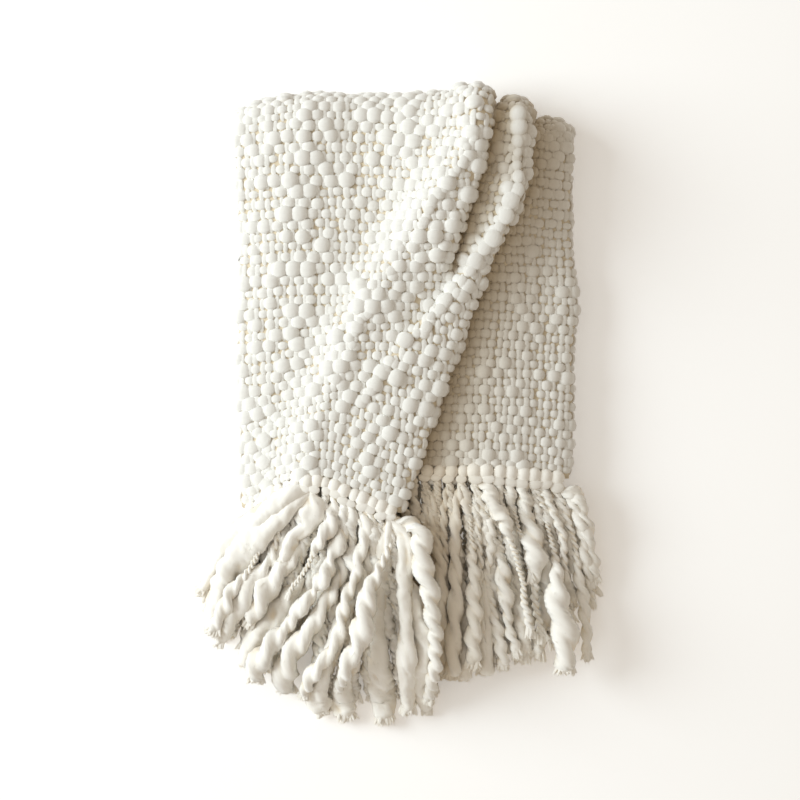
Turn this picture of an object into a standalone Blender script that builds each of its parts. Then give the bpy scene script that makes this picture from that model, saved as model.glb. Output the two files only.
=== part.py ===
"""Woven wool throw, folded in thirds, doubled over and laid down, with a long fringe at both ends.

The cloth is one sheet.  Its two sides are turned in under it as flaps, two pleats run down
its front, and the folded strip is doubled over at the far end.  Each edge that carries fringe
has a narrow strip beside it, from which the locks hang.  Metres, +X right, +Y to the fold, +Z up.
"""

import math
import random

import bmesh
import bpy
import numpy as np
from mathutils import Vector

THICK = 0.0065           # cloth
LAYER = 0.0108           # middle of one layer to the middle of the next
SKIN = 0.006             # from the throw's outline in to the middle of the cloth
TURN = LAYER / 2         # radius of a fold in the middle of the cloth
FOLD_Y = 0.337           # line over which the strip is doubled
FOLD_TILT = -0.048       # rise of that line for each metre to the right
FOLD_BOW = -0.30         # its bend, forward to both sides
FOLD_DIP = 0.006         # how far it comes forward over the pleats
SEAT = 0.006             # how far past a flap's edge the layer above stays up
RAMP = 0.070             # length in which that layer comes down
PLEAT_PLACE = (0.045, 0.165)     # left and right end of the pleats under the throw
RIDGE_FOOT = 0.045       # where the panel starts to rise to the ridge
OPENED = 0.012           # width of a pleat's points just after it has opened
OVER = 0.002             # how far past a nose the layer under it stays level
REST = 0.022             # where it has come down
LEAST = 0.010            # least distance between two points of a section

GAP = 0.0008             # between the cloth and a strip
STRIP = 0.010            # width of a strip
STRIP_END = 0.002        # from the end of its stretch of hem to the end of a strip
ROOT_SHARE = 0.66        # part of the pitch that a lock's root takes
LOCK_WIDTH = (0.70, 0.82)        # narrowest and widest lock, as parts of the pitch
KNEE = 0.35              # how far along its way a lock starts to turn to its tip
FALL = 0.15              # distance in which it comes down to what it rests on
UPRIGHT = 0.1            # below this, a direction counts as having no part along an axis
BESIDE = 0.064           # from a strip's locks to where the ones over them lie level again
SLOPE = 0.054            # part of that distance in which they come down
LOCK_GAP = 0.0030        # between locks that lie on one another
UNEVEN = 0.010           # by how much locks of one strip differ in length
SEEN_SHAPE = (0.78, 0.86, 0.96, 1.0, 1.0, 0.95, 0.45)      # thickness along a lock on top
HIDDEN_SHAPE = (1.0, 1.0, 1.0, 1.0, 0.6)                  # and along one below

# Front of the cloth, from the hem to the fold.  Places across are those of the outline,
# and heights are above the level at which the panel lies.
FRONT_COLUMNS = ("y", "left", "ridge", "ridge_up", "nose", "nose_up", "tuck", "valley_up",
                 "lip", "lip_up", "edge", "edge_up", "pocket", "right")
FRONT = (
    (-0.129, -0.188, -0.113, 0.017, -0.096, 0.019, -0.024, 0.021, -0.066, 0.022, 0.010, 0.0216, 0.080, 0.209),
    (-0.099, -0.188, -0.113, 0.019, -0.096, 0.021, -0.024, 0.022, -0.062, 0.023, 0.018, 0.0216, 0.080, 0.208),
    (-0.039, -0.188, -0.104, 0.023, -0.086, 0.024, -0.024, 0.024, -0.045, 0.025, 0.038, 0.0216, 0.085, 0.210),
    (+0.009, -0.191, -0.080, 0.025, -0.066, 0.024, -0.020, 0.024, -0.034, 0.027, 0.053, 0.0216, 0.085, 0.212),
    (+0.069, -0.192, -0.056, 0.026, -0.026, 0.023, -0.020, 0.023, +0.008, 0.028, 0.076, 0.0216, 0.076, 0.212),
    (+0.105, -0.191, -0.040, 0.026, +0.010, 0.021, -0.020, 0.018, +0.043, 0.028, 0.089, 0.0216, 0.040, 0.216),
    (+0.153, -0.190, -0.013, 0.027, +0.050, 0.020, -0.016, 0.012, +0.082, 0.027, 0.107, 0.0216, 0.026, 0.214),
    (+0.189, -0.188, +0.012, 0.029, +0.071, 0.026, +0.022, 0.004, +0.104, 0.025, 0.123, 0.0216, 0.024, 0.210),
    (+0.249, -0.193, +0.048, 0.030, +0.092, 0.025, +0.034, 0.003, +0.135, 0.024, 0.151, 0.0216, 0.024, 0.209),
    (+0.309, -0.195, +0.088, 0.030, +0.110, 0.025, +0.024, 0.003, +0.143, 0.024, 0.161, 0.0216, 0.024, 0.210),
    (+0.351, -0.192, +0.102, 0.029, +0.122, 0.025, +0.022, 0.003, +0.144, 0.024, 0.161, 0.0216, 0.024, 0.208),
)

# Back of the cloth, on the floor: the pleats open towards its hem and the flaps grow wider.
BACK_COLUMNS = ("y", "left", "ridge", "nose", "tuck", "lip", "edge", "pocket", "right",
                "stack", "left_flap", "right_flap")
BACK = (
    (-0.070, -0.186, -0.050, +0.005, -0.020, 0.060, 0.090, -0.020, 0.207, 0.0, +0.150, -0.140),
    (+0.080, -0.188, -0.005, +0.040, -0.020, 0.090, 0.116, -0.020, 0.208, 0.0, +0.135, -0.135),
    (+0.157, -0.189, +0.030, +0.065, -0.020, 0.106, 0.128, -0.020, 0.209, 0.1, +0.120, -0.125),
    (+0.200, -0.190, +0.052, +0.080, -0.017, 0.115, 0.137, -0.017, 0.209, 0.5, +0.112, -0.119),
    (+0.244, -0.191, +0.072, +0.101, +0.018, 0.127, 0.150, +0.014, 0.209, 1.0, +0.106, -0.115),
    (+0.351, -0.192, +0.102, +0.122, +0.022, 0.138, 0.161, +0.016, 0.208, 1.0, +0.100, -0.110),
)

# The flaps have their edges in the same places all along the front.
FRONT_FLAPS = {name: dict(zip(BACK_COLUMNS, BACK[-1]))[name] for name in ("left_flap", "right_flap")}

# Points of a section, from the edge of the left flap to the edge of the right one.  "steps" is
# the number of faces up to the next point, and the last two columns say where the hems lie.
SECTION_COLUMNS = ("name", "steps", "front_hem", "back_hem")
SECTION = (
    ("left_flap_edge", 1, -0.072, -0.062),
    ("left_flap_middle", 1, -0.076, -0.062),
    ("left_flap_over", 2, -0.090, -0.062),
    ("left_flap_down", 1, -0.108, -0.062),
    ("left_flap_turn", 2, -0.112, -0.062),
    ("left_fold", 2, -0.117, -0.061),
    ("panel_start", 2, -0.120, -0.060),
    ("panel_left", 2, -0.118, -0.060),
    ("panel_middle", 2, -0.112, -0.060),
    ("ridge_foot", 2, -0.100, -0.060),
    ("ridge", 1, -0.087, -0.060),
    ("facet", 1, -0.085, -0.060),
    ("nose_top", 2, -0.084, -0.060),
    ("nose", 2, -0.084, -0.060),
    ("nose_under", 1, -0.085, -0.060),
    ("tuck_upper", 2, -0.086, -0.060),
    ("tuck", 2, -0.087, -0.060),
    ("tuck_lower", 1, -0.088, -0.060),
    ("valley", 1, -0.090, -0.060),
    ("lip", 1, -0.096, -0.060),
    ("edge_top", 2, -0.122, -0.060),
    ("edge", 2, -0.123, -0.060),
    ("edge_under", 1, -0.120, -0.060),
    ("pocket_upper", 2, -0.087, -0.060),
    ("pocket", 2, -0.084, -0.060),
    ("pocket_lower", 1, -0.081, -0.060),
    ("strip_left", 1, -0.074, -0.060),
    ("strip_middle", 1, -0.074, -0.060),
    ("strip_right", 1, -0.079, -0.060),
    ("strip_end", 2, -0.084, -0.060),
    ("right_fold", 2, -0.084, -0.061),
    ("right_flap_turn", 1, -0.082, -0.062),
    ("right_flap_down", 2, -0.078, -0.063),
    ("right_flap_over", 1, -0.073, -0.064),
    ("right_flap_middle", 1, -0.068, -0.064),
    ("right_flap_edge", 0, -0.068, -0.064),
)
NAMES = [row[0] for row in SECTION]

# Rows of the cloth: shares of the way up the front, angles round the fold, shares of the way back.
FRONT_ROWS = (0.0, 0.07, 0.16, 0.26, 0.36, 0.44, 0.50, 0.555, 0.60, 0.65, 0.73, 0.82, 0.91)
TURN_ROWS = (0, 30, 60, 90, 120, 150, 180)
BACK_ROWS = (0.12, 0.23, 0.34, 0.45, 0.56, 0.70, 0.85, 1.0)

# Strips of fringe, lowest first.  "x" and "tip" bound the locks that others lie on, and
# "height" is that of a lock at its thickest.
FRINGE_COLUMNS = ("name", "side", "first", "last", "locks", "height", "x_low", "x_high", "tip")
FRINGE = (
    ("fringe_back", "back", "panel_start", "strip_end", 18, 0.0045, -0.195, 0.215, -0.286),
    ("fringe_back_left", "back", "left_flap_down", "left_flap_edge", 14, 0.0045, -0.178, 0.160, -0.282),
    ("fringe_back_right", "back", "right_flap_down", "right_flap_edge", 14, 0.0045, -0.150, 0.195, -0.284),
    ("fringe_inner_right", "front", "right_flap_down", "right_flap_edge", 12, 0.0045, -0.120, 0.195, -0.288),
    ("fringe_inner_left", "front", "left_flap_down", "left_flap_edge", 12, 0.0045, -0.178, 0.110, -0.284),
    ("fringe_right", "front", "pocket_lower", "strip_end", 18, 0.0090, -0.085, 0.215, -0.316),
    ("fringe_pleat", "front", "edge_under", "pocket_upper", 5, 0.0060, -0.075, 0.020, -0.276),
    ("fringe_front", "front", "panel_start", "edge_top", 17, 0.0100, -0.195, 0.010, -0.350),
)

# Where the ends of the locks lie, along each strip that is seen from above.
TIP_COLUMNS = ("along", "x", "y")
FRONT_TIPS = (
    (0.00, -0.233, -0.222), (0.09, -0.219, -0.262), (0.20, -0.186, -0.293), (0.33, -0.152, -0.331),
    (0.47, -0.115, -0.343), (0.60, -0.078, -0.372), (0.74, -0.036, -0.386), (0.87, 0.006, -0.374),
    (1.00, 0.046, -0.350),
)
RIGHT_TIPS = (
    (0.00, -0.050, -0.310), (0.28, 0.022, -0.322), (0.45, 0.072, -0.324), (0.60, 0.108, -0.314),
    (0.75, 0.146, -0.306), (0.84, 0.174, -0.286), (0.90, 0.194, -0.302), (0.95, 0.219, -0.290),
    (1.00, 0.2325, -0.232),
)
SEEN_TIPS = {"fringe_front": FRONT_TIPS, "fringe_right": RIGHT_TIPS}

WOOL = (0.80, 0.76, 0.68, 1.0)
LOCK_WOOL = (0.86, 0.83, 0.76, 1.0)
SHADED_WOOL = (0.70, 0.65, 0.56, 1.0)


def step(share):
    """0 before 0, 1 after 1, and a smooth rise between."""
    share = min(max(share, 0.0), 1.0)
    return share * share * (3.0 - 2.0 * share)


def mix(low, high, share):
    return low + (high - low) * share


def read(columns, table, place):
    """The columns of a table at a place, on a smooth curve through its rows."""
    rows = np.array(table, dtype=float)
    keys = rows[:, 0]
    place = min(max(place, keys[0]), keys[-1])
    slopes = np.gradient(rows, keys, axis=0)
    at = min(int(np.searchsorted(keys, place, side="right")) - 1, len(keys) - 2)
    span = keys[at + 1] - keys[at]
    t = (place - keys[at]) / span
    value = ((2 * t**3 - 3 * t**2 + 1) * rows[at] + (t**3 - 2 * t**2 + t) * span * slopes[at]
             + (3 * t**2 - 2 * t**3) * rows[at + 1] + (t**3 - t**2) * span * slopes[at + 1])
    return dict(zip(columns, value.tolist()))


def smooth(points, steps):
    """A centripetal curve through points, with so many steps after each one."""
    points = [Vector(p) for p in points]
    ends = [2 * points[0] - points[1]] + points + [2 * points[-1] - points[-2]]
    curve = [points[0]]
    for i in range(len(points) - 1):
        p = ends[i:i + 4]
        t = [0.0]
        for a, b in zip(p, p[1:]):
            t.append(t[-1] + max((b - a).length, 1e-6) ** 0.5)
        for k in range(1, steps[i] + 1):
            at = mix(t[1], t[2], k / steps[i])
            a = [((t[j + 1] - at) * p[j] + (at - t[j]) * p[j + 1]) / (t[j + 1] - t[j]) for j in range(3)]
            b = [((t[j + 2] - at) * a[j] + (at - t[j]) * a[j + 1]) / (t[j + 2] - t[j]) for j in range(2)]
            curve.append(((t[2] - at) * b[0] + (at - t[1]) * b[1]) / (t[2] - t[1]))
    return curve


def pleat(nose, depth, high, low):
    """Six points of a pleat: its nose, the run under it and its inner fold.

    A closed pleat takes the height of two layers.  A depth below 0 is a pleat that has
    opened, and its points lie one after another.
    """
    closed = min(max(depth / (2 * TURN), 0.0), 1.0)
    if high > low:
        high = max(high, low + 2 * LAYER * closed)
    back = min(TURN, depth / 2) if depth > 0 else 0.0
    folded_x = (nose - back, nose, nose - back, nose - depth + back, nose - depth, nose - depth + back)
    open_x = [nose + max(-depth, OPENED) * k / 5 for k in range(6)]
    folded_up = (0.0, 0.235, 0.47, 0.53, 0.765, 1.0)
    open_up = [k / 5 for k in range(6)]
    points = []
    for k in range(6):
        x = mix(open_x[k], folded_x[k], closed)
        turn = nose if k < 3 else nose - depth
        points.append((x, mix(high, low, mix(open_up[k], folded_up[k], closed)), mix(x, turn, closed)))
    return points


def outer_points(row):
    """Points from the left fold to the right one: x, height over the panel, and the place
    at which the layers below are counted, which is one and the same all round a turn."""
    left, right = row["left"] + SKIN, row["right"] - SKIN
    ridge, nose, edge = row["ridge"], row["nose"] - SKIN, row["edge"] - SKIN
    foot = max(ridge - RIDGE_FOOT, left + 3.5 * LEAST)
    first = pleat(nose, row["tuck"], row["nose_up"], row["valley_up"])
    second = pleat(edge, row["pocket"], row["edge_up"], row["strip_up"])
    inner, outer = first[5][0], second[5][0]
    valley = max(nose + OVER, mix(inner, row["lip"], 0.3))
    strip_left = max(edge + OVER, outer + LEAST / 2)
    strip_middle = max(edge + REST, FRONT_FLAPS["left_flap"] + SEAT, strip_left + LEAST)
    panel_left = max(mix(left, foot, 0.3), left + TURN + LEAST)

    def plain(x, up):
        return (x, up, x)

    return ([(left, None, left), (left + TURN, 0.0, left), plain(panel_left, 0.0),
             plain(mix(panel_left, foot, 0.5), 0.0), plain(foot, row["foot_up"]), plain(ridge, row["ridge_up"]),
             plain(mix(ridge, first[0][0], 0.5), row["facet_up"])]
            + first
            + [plain(valley, row["valley_up"]), plain(row["lip"], row["lip_up"])]
            + second
            + [plain(strip_left, row["strip_up"]), plain(strip_middle, 0.0),
               plain(mix(strip_middle, right - TURN, 0.6), 0.0), (right - TURN, 0.0, right), (right, None, right)])


def front_row(y):
    row = read(FRONT_COLUMNS, FRONT, y)
    row["foot_up"] = 0.10 * row["ridge_up"]
    row["facet_up"] = mix(row["ridge_up"], row["nose_up"], 0.45)
    row["strip_up"] = 0.0
    return row


def back_row(y):
    row = read(BACK_COLUMNS, BACK, y)
    row["stack"] = min(max(row["stack"], 0.0), 1.0)
    row["foot_up"] = row["ridge_up"] = row["facet_up"] = row["nose_up"] = row["edge_up"] = row["lip_up"] = 0.0
    row["valley_up"] = row["strip_up"] = 2 * LAYER * row["stack"]
    return row


def under_left_flap(x, flaps):
    return 1.0 - step((x - flaps["left_flap"] - SEAT) / RAMP)


def under_right_flap(x, flaps):
    return 1.0 - step((flaps["right_flap"] - SEAT - x) / RAMP)


def levels(x, y):
    """Layers of cloth under each layer at a place, lowest layer first, and under the core."""
    back = back_row(y)
    low, high = PLEAT_PLACE
    swell = 2 * back["stack"] * min(step((x - low + RAMP) / RAMP), step((high + RAMP - x) / RAMP))
    back_left = 1 + swell
    back_right = back_left + under_left_flap(x, back)
    front_right = back_right + under_right_flap(x, back)
    front_left = front_right + under_right_flap(x, FRONT_FLAPS)
    front_panel = front_left + under_left_flap(x, FRONT_FLAPS)
    return {"back_left": back_left, "back_right": back_right, "core": front_right - 0.5,
            "front_right": front_right, "front_left": front_left, "front_panel": front_panel}


def height(level):
    return THICK / 2 + LAYER * level


def flap_places(row, flaps):
    """x of the five points of each flap."""
    left, right = row["left"] + SKIN, row["right"] - SKIN
    low, high = flaps["right_flap"], flaps["left_flap"]
    left_down = max(low - SEAT - RAMP, left + TURN + LEAST)
    right_down = min(high + SEAT + RAMP, right - TURN - LEAST)
    return ([high, mix(low, high, 0.5), max(low, left_down + LEAST), left_down, left + TURN],
            [right - TURN, right_down, min(high, right_down - LEAST), mix(low, high, 0.5), low])


def fold_line(x):
    low, high = PLEAT_PLACE
    bump = step((x - low + RAMP) / RAMP) * step((high + RAMP - x) / RAMP)
    return FOLD_Y + FOLD_TILT * x + FOLD_BOW * x * x - FOLD_DIP * bump


def point(side, index, y):
    """The section's point with this index where its row crosses y, on the front or the back."""
    row = front_row(y) if side == "front" else back_row(y)
    flaps = FRONT_FLAPS if side == "front" else row
    left_x, right_x = flap_places(row, flaps)
    outer = outer_points(row)
    if index < 5:
        x = left_x[index]
        return Vector((x, y, height(levels(outer[0][0] if index == 4 else x, y)[side + "_left"])))
    if index >= len(SECTION) - 5:
        place = index - len(SECTION) + 5
        x = right_x[place]
        return Vector((x, y, height(levels(outer[-1][0] if place == 0 else x, y)[side + "_right"])))
    x, up, counted_at = outer[index - 5]
    level = levels(counted_at, y)
    panel = level["front_panel"] if side == "front" else 0.0
    if up is None:
        flap = side + ("_left" if index == 5 else "_right")
        return Vector((x, y, (height(level[flap]) + height(panel)) / 2))
    return Vector((x, y, height(panel) + up))


def fold_places():
    """y of the fold line at each point of the section."""
    return [fold_line(point("front", i, FOLD_Y).x) for i in range(len(SECTION))]


def row_points(side, share, folds):
    """A row of points across the cloth: share runs from 0 to 1, or in degrees round the fold."""
    points = []
    for i, (_, _, front_hem, back_hem) in enumerate(SECTION):
        if side == "front":
            points.append(point("front", i, mix(front_hem, folds[i], share)))
        elif side == "back":
            points.append(point("back", i, mix(folds[i], back_hem, share)))
        else:
            top, low = point("front", i, folds[i]), point("back", i, folds[i])
            core = height(levels(top.x, folds[i])["core"])
            reach = mix(top.z - core, core - low.z, step(share / 180))
            angle = math.radians(share)
            x = mix(top.x, low.x, share / 180)
            points.append(Vector((x, folds[i] + reach * math.sin(angle), core + reach * math.cos(angle))))
    return points


def cloth_row(side, share, folds):
    """A row as the cloth has it, with its turns rounded and nothing below the floor."""
    row = smooth(row_points(side, share, folds), [section[1] for section in SECTION])
    for place in row:
        place.z = max(place.z, THICK / 2)
    return row


def principled(name, colour, roughness):
    material = bpy.data.materials.new(name)
    material.use_nodes = True
    shader = material.node_tree.nodes["Principled BSDF"]
    shader.inputs["Base Color"].default_value = colour
    shader.inputs["Roughness"].default_value = roughness
    shader.inputs["Metallic"].default_value = 0.0
    material.diffuse_color = colour
    return material


def add_object(collection, name, bm, material):
    mesh = bpy.data.meshes.new(name)
    bm.to_mesh(mesh)
    bm.free()
    mesh.shade_smooth()
    mesh.materials.append(material)
    obj = bpy.data.objects.new(name, mesh)
    collection.objects.link(obj)
    return obj


def make_cloth(collection, folds):
    """The whole sheet: a grid whose rows are laid on the folds, then given its thickness."""
    rows = [cloth_row("front", share, folds) for share in FRONT_ROWS]
    rows += [cloth_row("turn", angle, folds) for angle in TURN_ROWS]
    rows += [cloth_row("back", share, folds) for share in BACK_ROWS]
    across, along = len(rows[0]) - 1, len(rows) - 1
    bm = bmesh.new()
    bmesh.ops.create_grid(bm, x_segments=across, y_segments=along, size=0.5)
    for vert in bm.verts:
        column = round((vert.co.x + 0.5) * across)
        row = round((vert.co.y + 0.5) * along)
        vert.co = rows[row][column]
    bmesh.ops.triangulate(bm, faces=bm.faces[:])
    throw = add_object(collection, "throw", bm, principled("wool cloth", WOOL, 0.9))
    solid = throw.modifiers.new("thickness", "SOLIDIFY")
    solid.thickness = THICK
    solid.offset = 0.0
    return throw


def hem_places(fringe, folds):
    """Evenly spaced places along a hem: middle of the cloth, way out and way up from it."""
    side, first, last = fringe["side"], NAMES.index(fringe["first"]), NAMES.index(fringe["last"])
    hem_share, inner_share = (0.0, 0.02) if side == "front" else (1.0, 0.98)
    steps = [row[1] for row in SECTION]
    low, high = (sum(steps[:i]) for i in sorted((first, last)))
    edge = cloth_row(side, hem_share, folds)[low:high + 1]
    inner = cloth_row(side, inner_share, folds)[low:high + 1]
    length = [0.0]
    for a, b in zip(edge, edge[1:]):
        length.append(length[-1] + (b - a).length)
    pitch = (length[-1] - 2 * STRIP_END) / fringe["locks"]
    root = pitch * ROOT_SHARE
    marks = [STRIP_END]
    for k in range(fringe["locks"]):
        marks += [STRIP_END + k * pitch + (pitch - root) / 2, STRIP_END + k * pitch + (pitch + root) / 2]
    marks.append(length[-1] - STRIP_END)
    places = []
    for mark in marks:
        at = max(i for i in range(len(edge) - 1) if length[i] <= mark)
        t = (mark - length[at]) / (length[at + 1] - length[at])
        here, behind = edge[at].lerp(edge[at + 1], t), inner[at].lerp(inner[at + 1], t)
        out = (here - behind).normalized()
        across = (edge[at + 1] - edge[at]).normalized()
        places.append((here, out, out.cross(across).normalized()))
    return places


def bed(order, x, y):
    """Height of the locks that lie under this strip's locks at a place."""
    total = 0.0
    for row in FRINGE[:order]:
        lower = dict(zip(FRINGE_COLUMNS, row))
        past = min(x - lower["x_low"], lower["x_high"] - x, y - lower["tip"])
        inside = step((past + BESIDE) / SLOPE)
        total += (lower["height"] + LOCK_GAP) * inside
    return total


def lock_tip(fringe, share, root, rng):
    """Where a lock ends."""
    if fringe["name"] in SEEN_TIPS:
        tip = read(TIP_COLUMNS, SEEN_TIPS[fringe["name"]], share)
        return Vector((tip["x"], tip["y"] + rng.uniform(0.0, UNEVEN)))
    return Vector((root.x, fringe["tip"] + rng.uniform(0.0, 2 * UNEVEN)))


def grow_lock(bm, face, order, fringe, share, place, pitch, rng):
    """Draws a lock out of a face on the strip's edge, down to the locks or the floor under it."""
    root = face.calc_center_median()
    _, out, normal = place
    if normal.z < -UPRIGHT:
        normal = -normal
    side = normal.cross(out)
    corners = [(math.copysign(1.0, (v.co - root).dot(side)), math.copysign(1.0, (v.co - root).dot(normal)))
               for v in face.verts]
    tip = lock_tip(fringe, share, root, rng)
    wide = pitch * rng.uniform(*LOCK_WIDTH)
    way = (Vector((0.0, -1.0)) + (tip - root.xy).normalized()).normalized()
    reach = (tip - root.xy).length
    knee = root.xy + way * reach * KNEE
    shape = SEEN_SHAPE if fringe["name"] in SEEN_TIPS else HIDDEN_SHAPE
    for k, belly in enumerate(shape, start=1):
        t = k / len(shape)
        flat = (1 - t) ** 2 * root.xy + 2 * t * (1 - t) * knee + t * t * tip
        heading = ((1 - t) * (knee - root.xy) + t * (tip - knee)).normalized()
        turned = step(t * reach / FALL)
        across = side.lerp(Vector((-heading.y, heading.x, 0.0)), turned).normalized()
        upward = normal.lerp(Vector((0.0, 0.0, 1.0)), turned).normalized()
        width, thick = wide * belly, fringe["height"] * belly
        rest = bed(order, flat.x, flat.y) + thick / 2
        middle = Vector((flat.x, flat.y, mix(max(root.z, rest), rest, turned)))
        face = bmesh.ops.extrude_discrete_faces(bm, faces=[face])["faces"][0]
        for vert, (aside, above) in zip(face.verts, corners):
            vert.co = middle + across * (aside * width / 2) + upward * (above * thick / 2)


def make_fringe(collection, order, folds, material):
    """A strip along a hem with its locks."""
    fringe = dict(zip(FRINGE_COLUMNS, FRINGE[order]))
    rng = random.Random(order)
    places = hem_places(fringe, folds)
    across = len(places) - 1
    bm = bmesh.new()
    bmesh.ops.create_grid(bm, x_segments=across, y_segments=1, size=0.5)
    column = {vert: round((vert.co.x + 0.5) * across) for vert in bm.verts}
    inner = {vert: vert.co.y < 0 for vert in bm.verts}
    top = list(bm.verts)
    wall = bmesh.ops.extrude_face_region(bm, geom=bm.faces[:], use_keep_orig=True)["geom"]
    raised = [v for v in wall if isinstance(v, bmesh.types.BMVert)]
    flat = {(round(v.co.x, 6), round(v.co.y, 6)): v for v in top}
    for vert in raised:
        twin = flat[(round(vert.co.x, 6), round(vert.co.y, 6))]
        column[vert], inner[vert] = column[twin], inner[twin]
    for verts, side in ((top, -1.0), (raised, 1.0)):
        for vert in verts:
            here, out, normal = places[column[vert]]
            reach = GAP if inner[vert] else GAP + STRIP
            vert.co = here + out * reach + normal * (side * THICK / 2)
    bmesh.ops.recalc_face_normals(bm, faces=bm.faces[:])
    outer_faces = [f for f in bm.faces if not any(inner[v] for v in f.verts)]
    outer_faces.sort(key=lambda f: min(column[v] for v in f.verts))
    pitch = (places[3][0] - places[1][0]).length
    for k, face in enumerate(outer_faces[1::2]):
        grow_lock(bm, face, order, fringe, k / (fringe["locks"] - 1), places[2 * k + 1], pitch, rng)
    bmesh.ops.triangulate(bm, faces=bm.faces[:])
    if bm.calc_volume(signed=True) < 0:
        bmesh.ops.reverse_faces(bm, faces=bm.faces[:])
    return add_object(collection, fringe["name"], bm, material)


def clear_scene():
    for obj in list(bpy.data.objects):
        bpy.data.objects.remove(obj, do_unlink=True)


def main():
    clear_scene()
    collection = bpy.data.collections.new("woven_throw")
    bpy.context.scene.collection.children.link(collection)
    folds = fold_places()
    make_cloth(collection, folds)
    for order, row in enumerate(FRINGE):
        colour = LOCK_WOOL if row[0] in SEEN_TIPS else SHADED_WOOL
        make_fringe(collection, order, folds, principled(row[0] + " wool", colour, 0.95))


main()
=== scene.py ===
import math
import random

import bmesh
import bpy
import numpy as np
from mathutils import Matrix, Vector


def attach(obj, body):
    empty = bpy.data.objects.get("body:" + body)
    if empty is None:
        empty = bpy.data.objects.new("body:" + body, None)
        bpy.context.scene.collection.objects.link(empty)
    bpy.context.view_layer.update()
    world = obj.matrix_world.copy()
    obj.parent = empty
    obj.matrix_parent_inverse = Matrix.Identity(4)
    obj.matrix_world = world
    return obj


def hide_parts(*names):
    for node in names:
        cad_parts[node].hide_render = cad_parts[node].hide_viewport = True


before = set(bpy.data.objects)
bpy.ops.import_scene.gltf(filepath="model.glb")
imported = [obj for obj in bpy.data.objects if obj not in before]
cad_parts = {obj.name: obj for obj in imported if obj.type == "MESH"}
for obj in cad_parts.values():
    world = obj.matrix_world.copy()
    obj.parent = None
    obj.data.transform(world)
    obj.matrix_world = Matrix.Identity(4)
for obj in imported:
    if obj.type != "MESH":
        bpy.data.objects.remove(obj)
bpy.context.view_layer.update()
print("frame loaded:", len(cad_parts), "nodes")

# The folds of the cloth, as its solid has them.  Metres, +X right, +Y to the fold, +Z up.
clothSizes = {
    "thick": 0.0065,         # the solid's cloth
    "layer": 0.0108,         # one layer to the next
    "skin": 0.006,           # outline in to the middle of the cloth
    "foldY": 0.337,          # where the strip is doubled over, in the middle
    "foldTilt": -0.048,      # how that line leans, bows and dips over the pleats
    "foldBow": -0.30,
    "foldDip": 0.006,
    "seat": 0.006,           # how far a layer stays up past a flap's edge
    "ramp": 0.070,           # length in which it comes down
    "pleatLow": 0.045,       # ends of the pleats under the throw
    "pleatHigh": 0.165,
    "ridgeFoot": 0.045,      # length of the rise to the ridge
    "opened": 0.012,         # spread of a pleat that has just opened
    "over": 0.002,           # least way from a pleat's nose to the cloth beside it
    "rest": 0.022,           # and from its edge to the flat strip
    "least": 0.010,          # least distance between points of a section
}
turnRadius = clothSizes["layer"] / 2

frontColumns = ("y", "left", "ridge", "ridgeUp", "nose", "noseUp", "tuck", "valleyUp",
                "lip", "lipUp", "edge", "pocket", "right")
frontTable = (
    (-0.129, -0.188, -0.113, 0.017, -0.096, 0.019, -0.024, 0.021, -0.066, 0.022, 0.010, 0.080, 0.209),
    (-0.099, -0.188, -0.113, 0.019, -0.096, 0.021, -0.024, 0.022, -0.062, 0.023, 0.018, 0.080, 0.208),
    (-0.039, -0.188, -0.104, 0.023, -0.086, 0.024, -0.024, 0.024, -0.045, 0.025, 0.038, 0.085, 0.210),
    (+0.009, -0.191, -0.080, 0.025, -0.066, 0.024, -0.020, 0.024, -0.034, 0.027, 0.053, 0.085, 0.212),
    (+0.069, -0.192, -0.056, 0.026, -0.026, 0.023, -0.020, 0.023, +0.008, 0.028, 0.076, 0.076, 0.212),
    (+0.105, -0.191, -0.040, 0.026, +0.010, 0.021, -0.020, 0.018, +0.043, 0.028, 0.089, 0.040, 0.216),
    (+0.153, -0.190, -0.013, 0.027, +0.050, 0.020, -0.016, 0.012, +0.082, 0.027, 0.107, 0.026, 0.214),
    (+0.189, -0.188, +0.012, 0.029, +0.071, 0.026, +0.022, 0.004, +0.104, 0.025, 0.123, 0.024, 0.210),
    (+0.249, -0.193, +0.048, 0.030, +0.092, 0.025, +0.034, 0.003, +0.135, 0.024, 0.151, 0.024, 0.209),
    (+0.309, -0.195, +0.088, 0.030, +0.110, 0.025, +0.024, 0.003, +0.143, 0.024, 0.161, 0.024, 0.210),
    (+0.351, -0.192, +0.102, 0.029, +0.122, 0.025, +0.022, 0.003, +0.144, 0.024, 0.161, 0.024, 0.208),
)
backColumns = ("y", "left", "ridge", "nose", "tuck", "lip", "edge", "pocket", "right",
               "stack", "leftFlap", "rightFlap")
backTable = (
    (-0.070, -0.186, -0.050, +0.005, -0.020, 0.060, 0.090, -0.020, 0.207, 0.0, +0.150, -0.140),
    (+0.080, -0.188, -0.005, +0.040, -0.020, 0.090, 0.116, -0.020, 0.208, 0.0, +0.135, -0.135),
    (+0.157, -0.189, +0.030, +0.065, -0.020, 0.106, 0.128, -0.020, 0.209, 0.1, +0.120, -0.125),
    (+0.200, -0.190, +0.052, +0.080, -0.017, 0.115, 0.137, -0.017, 0.209, 0.5, +0.112, -0.119),
    (+0.244, -0.191, +0.072, +0.101, +0.018, 0.127, 0.150, +0.014, 0.209, 1.0, +0.106, -0.115),
    (+0.351, -0.192, +0.102, +0.122, +0.022, 0.138, 0.161, +0.016, 0.208, 1.0, +0.100, -0.110),
)
frontFlaps = dict(zip(backColumns, backTable[-1]))    # the front's flaps are straight

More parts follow.
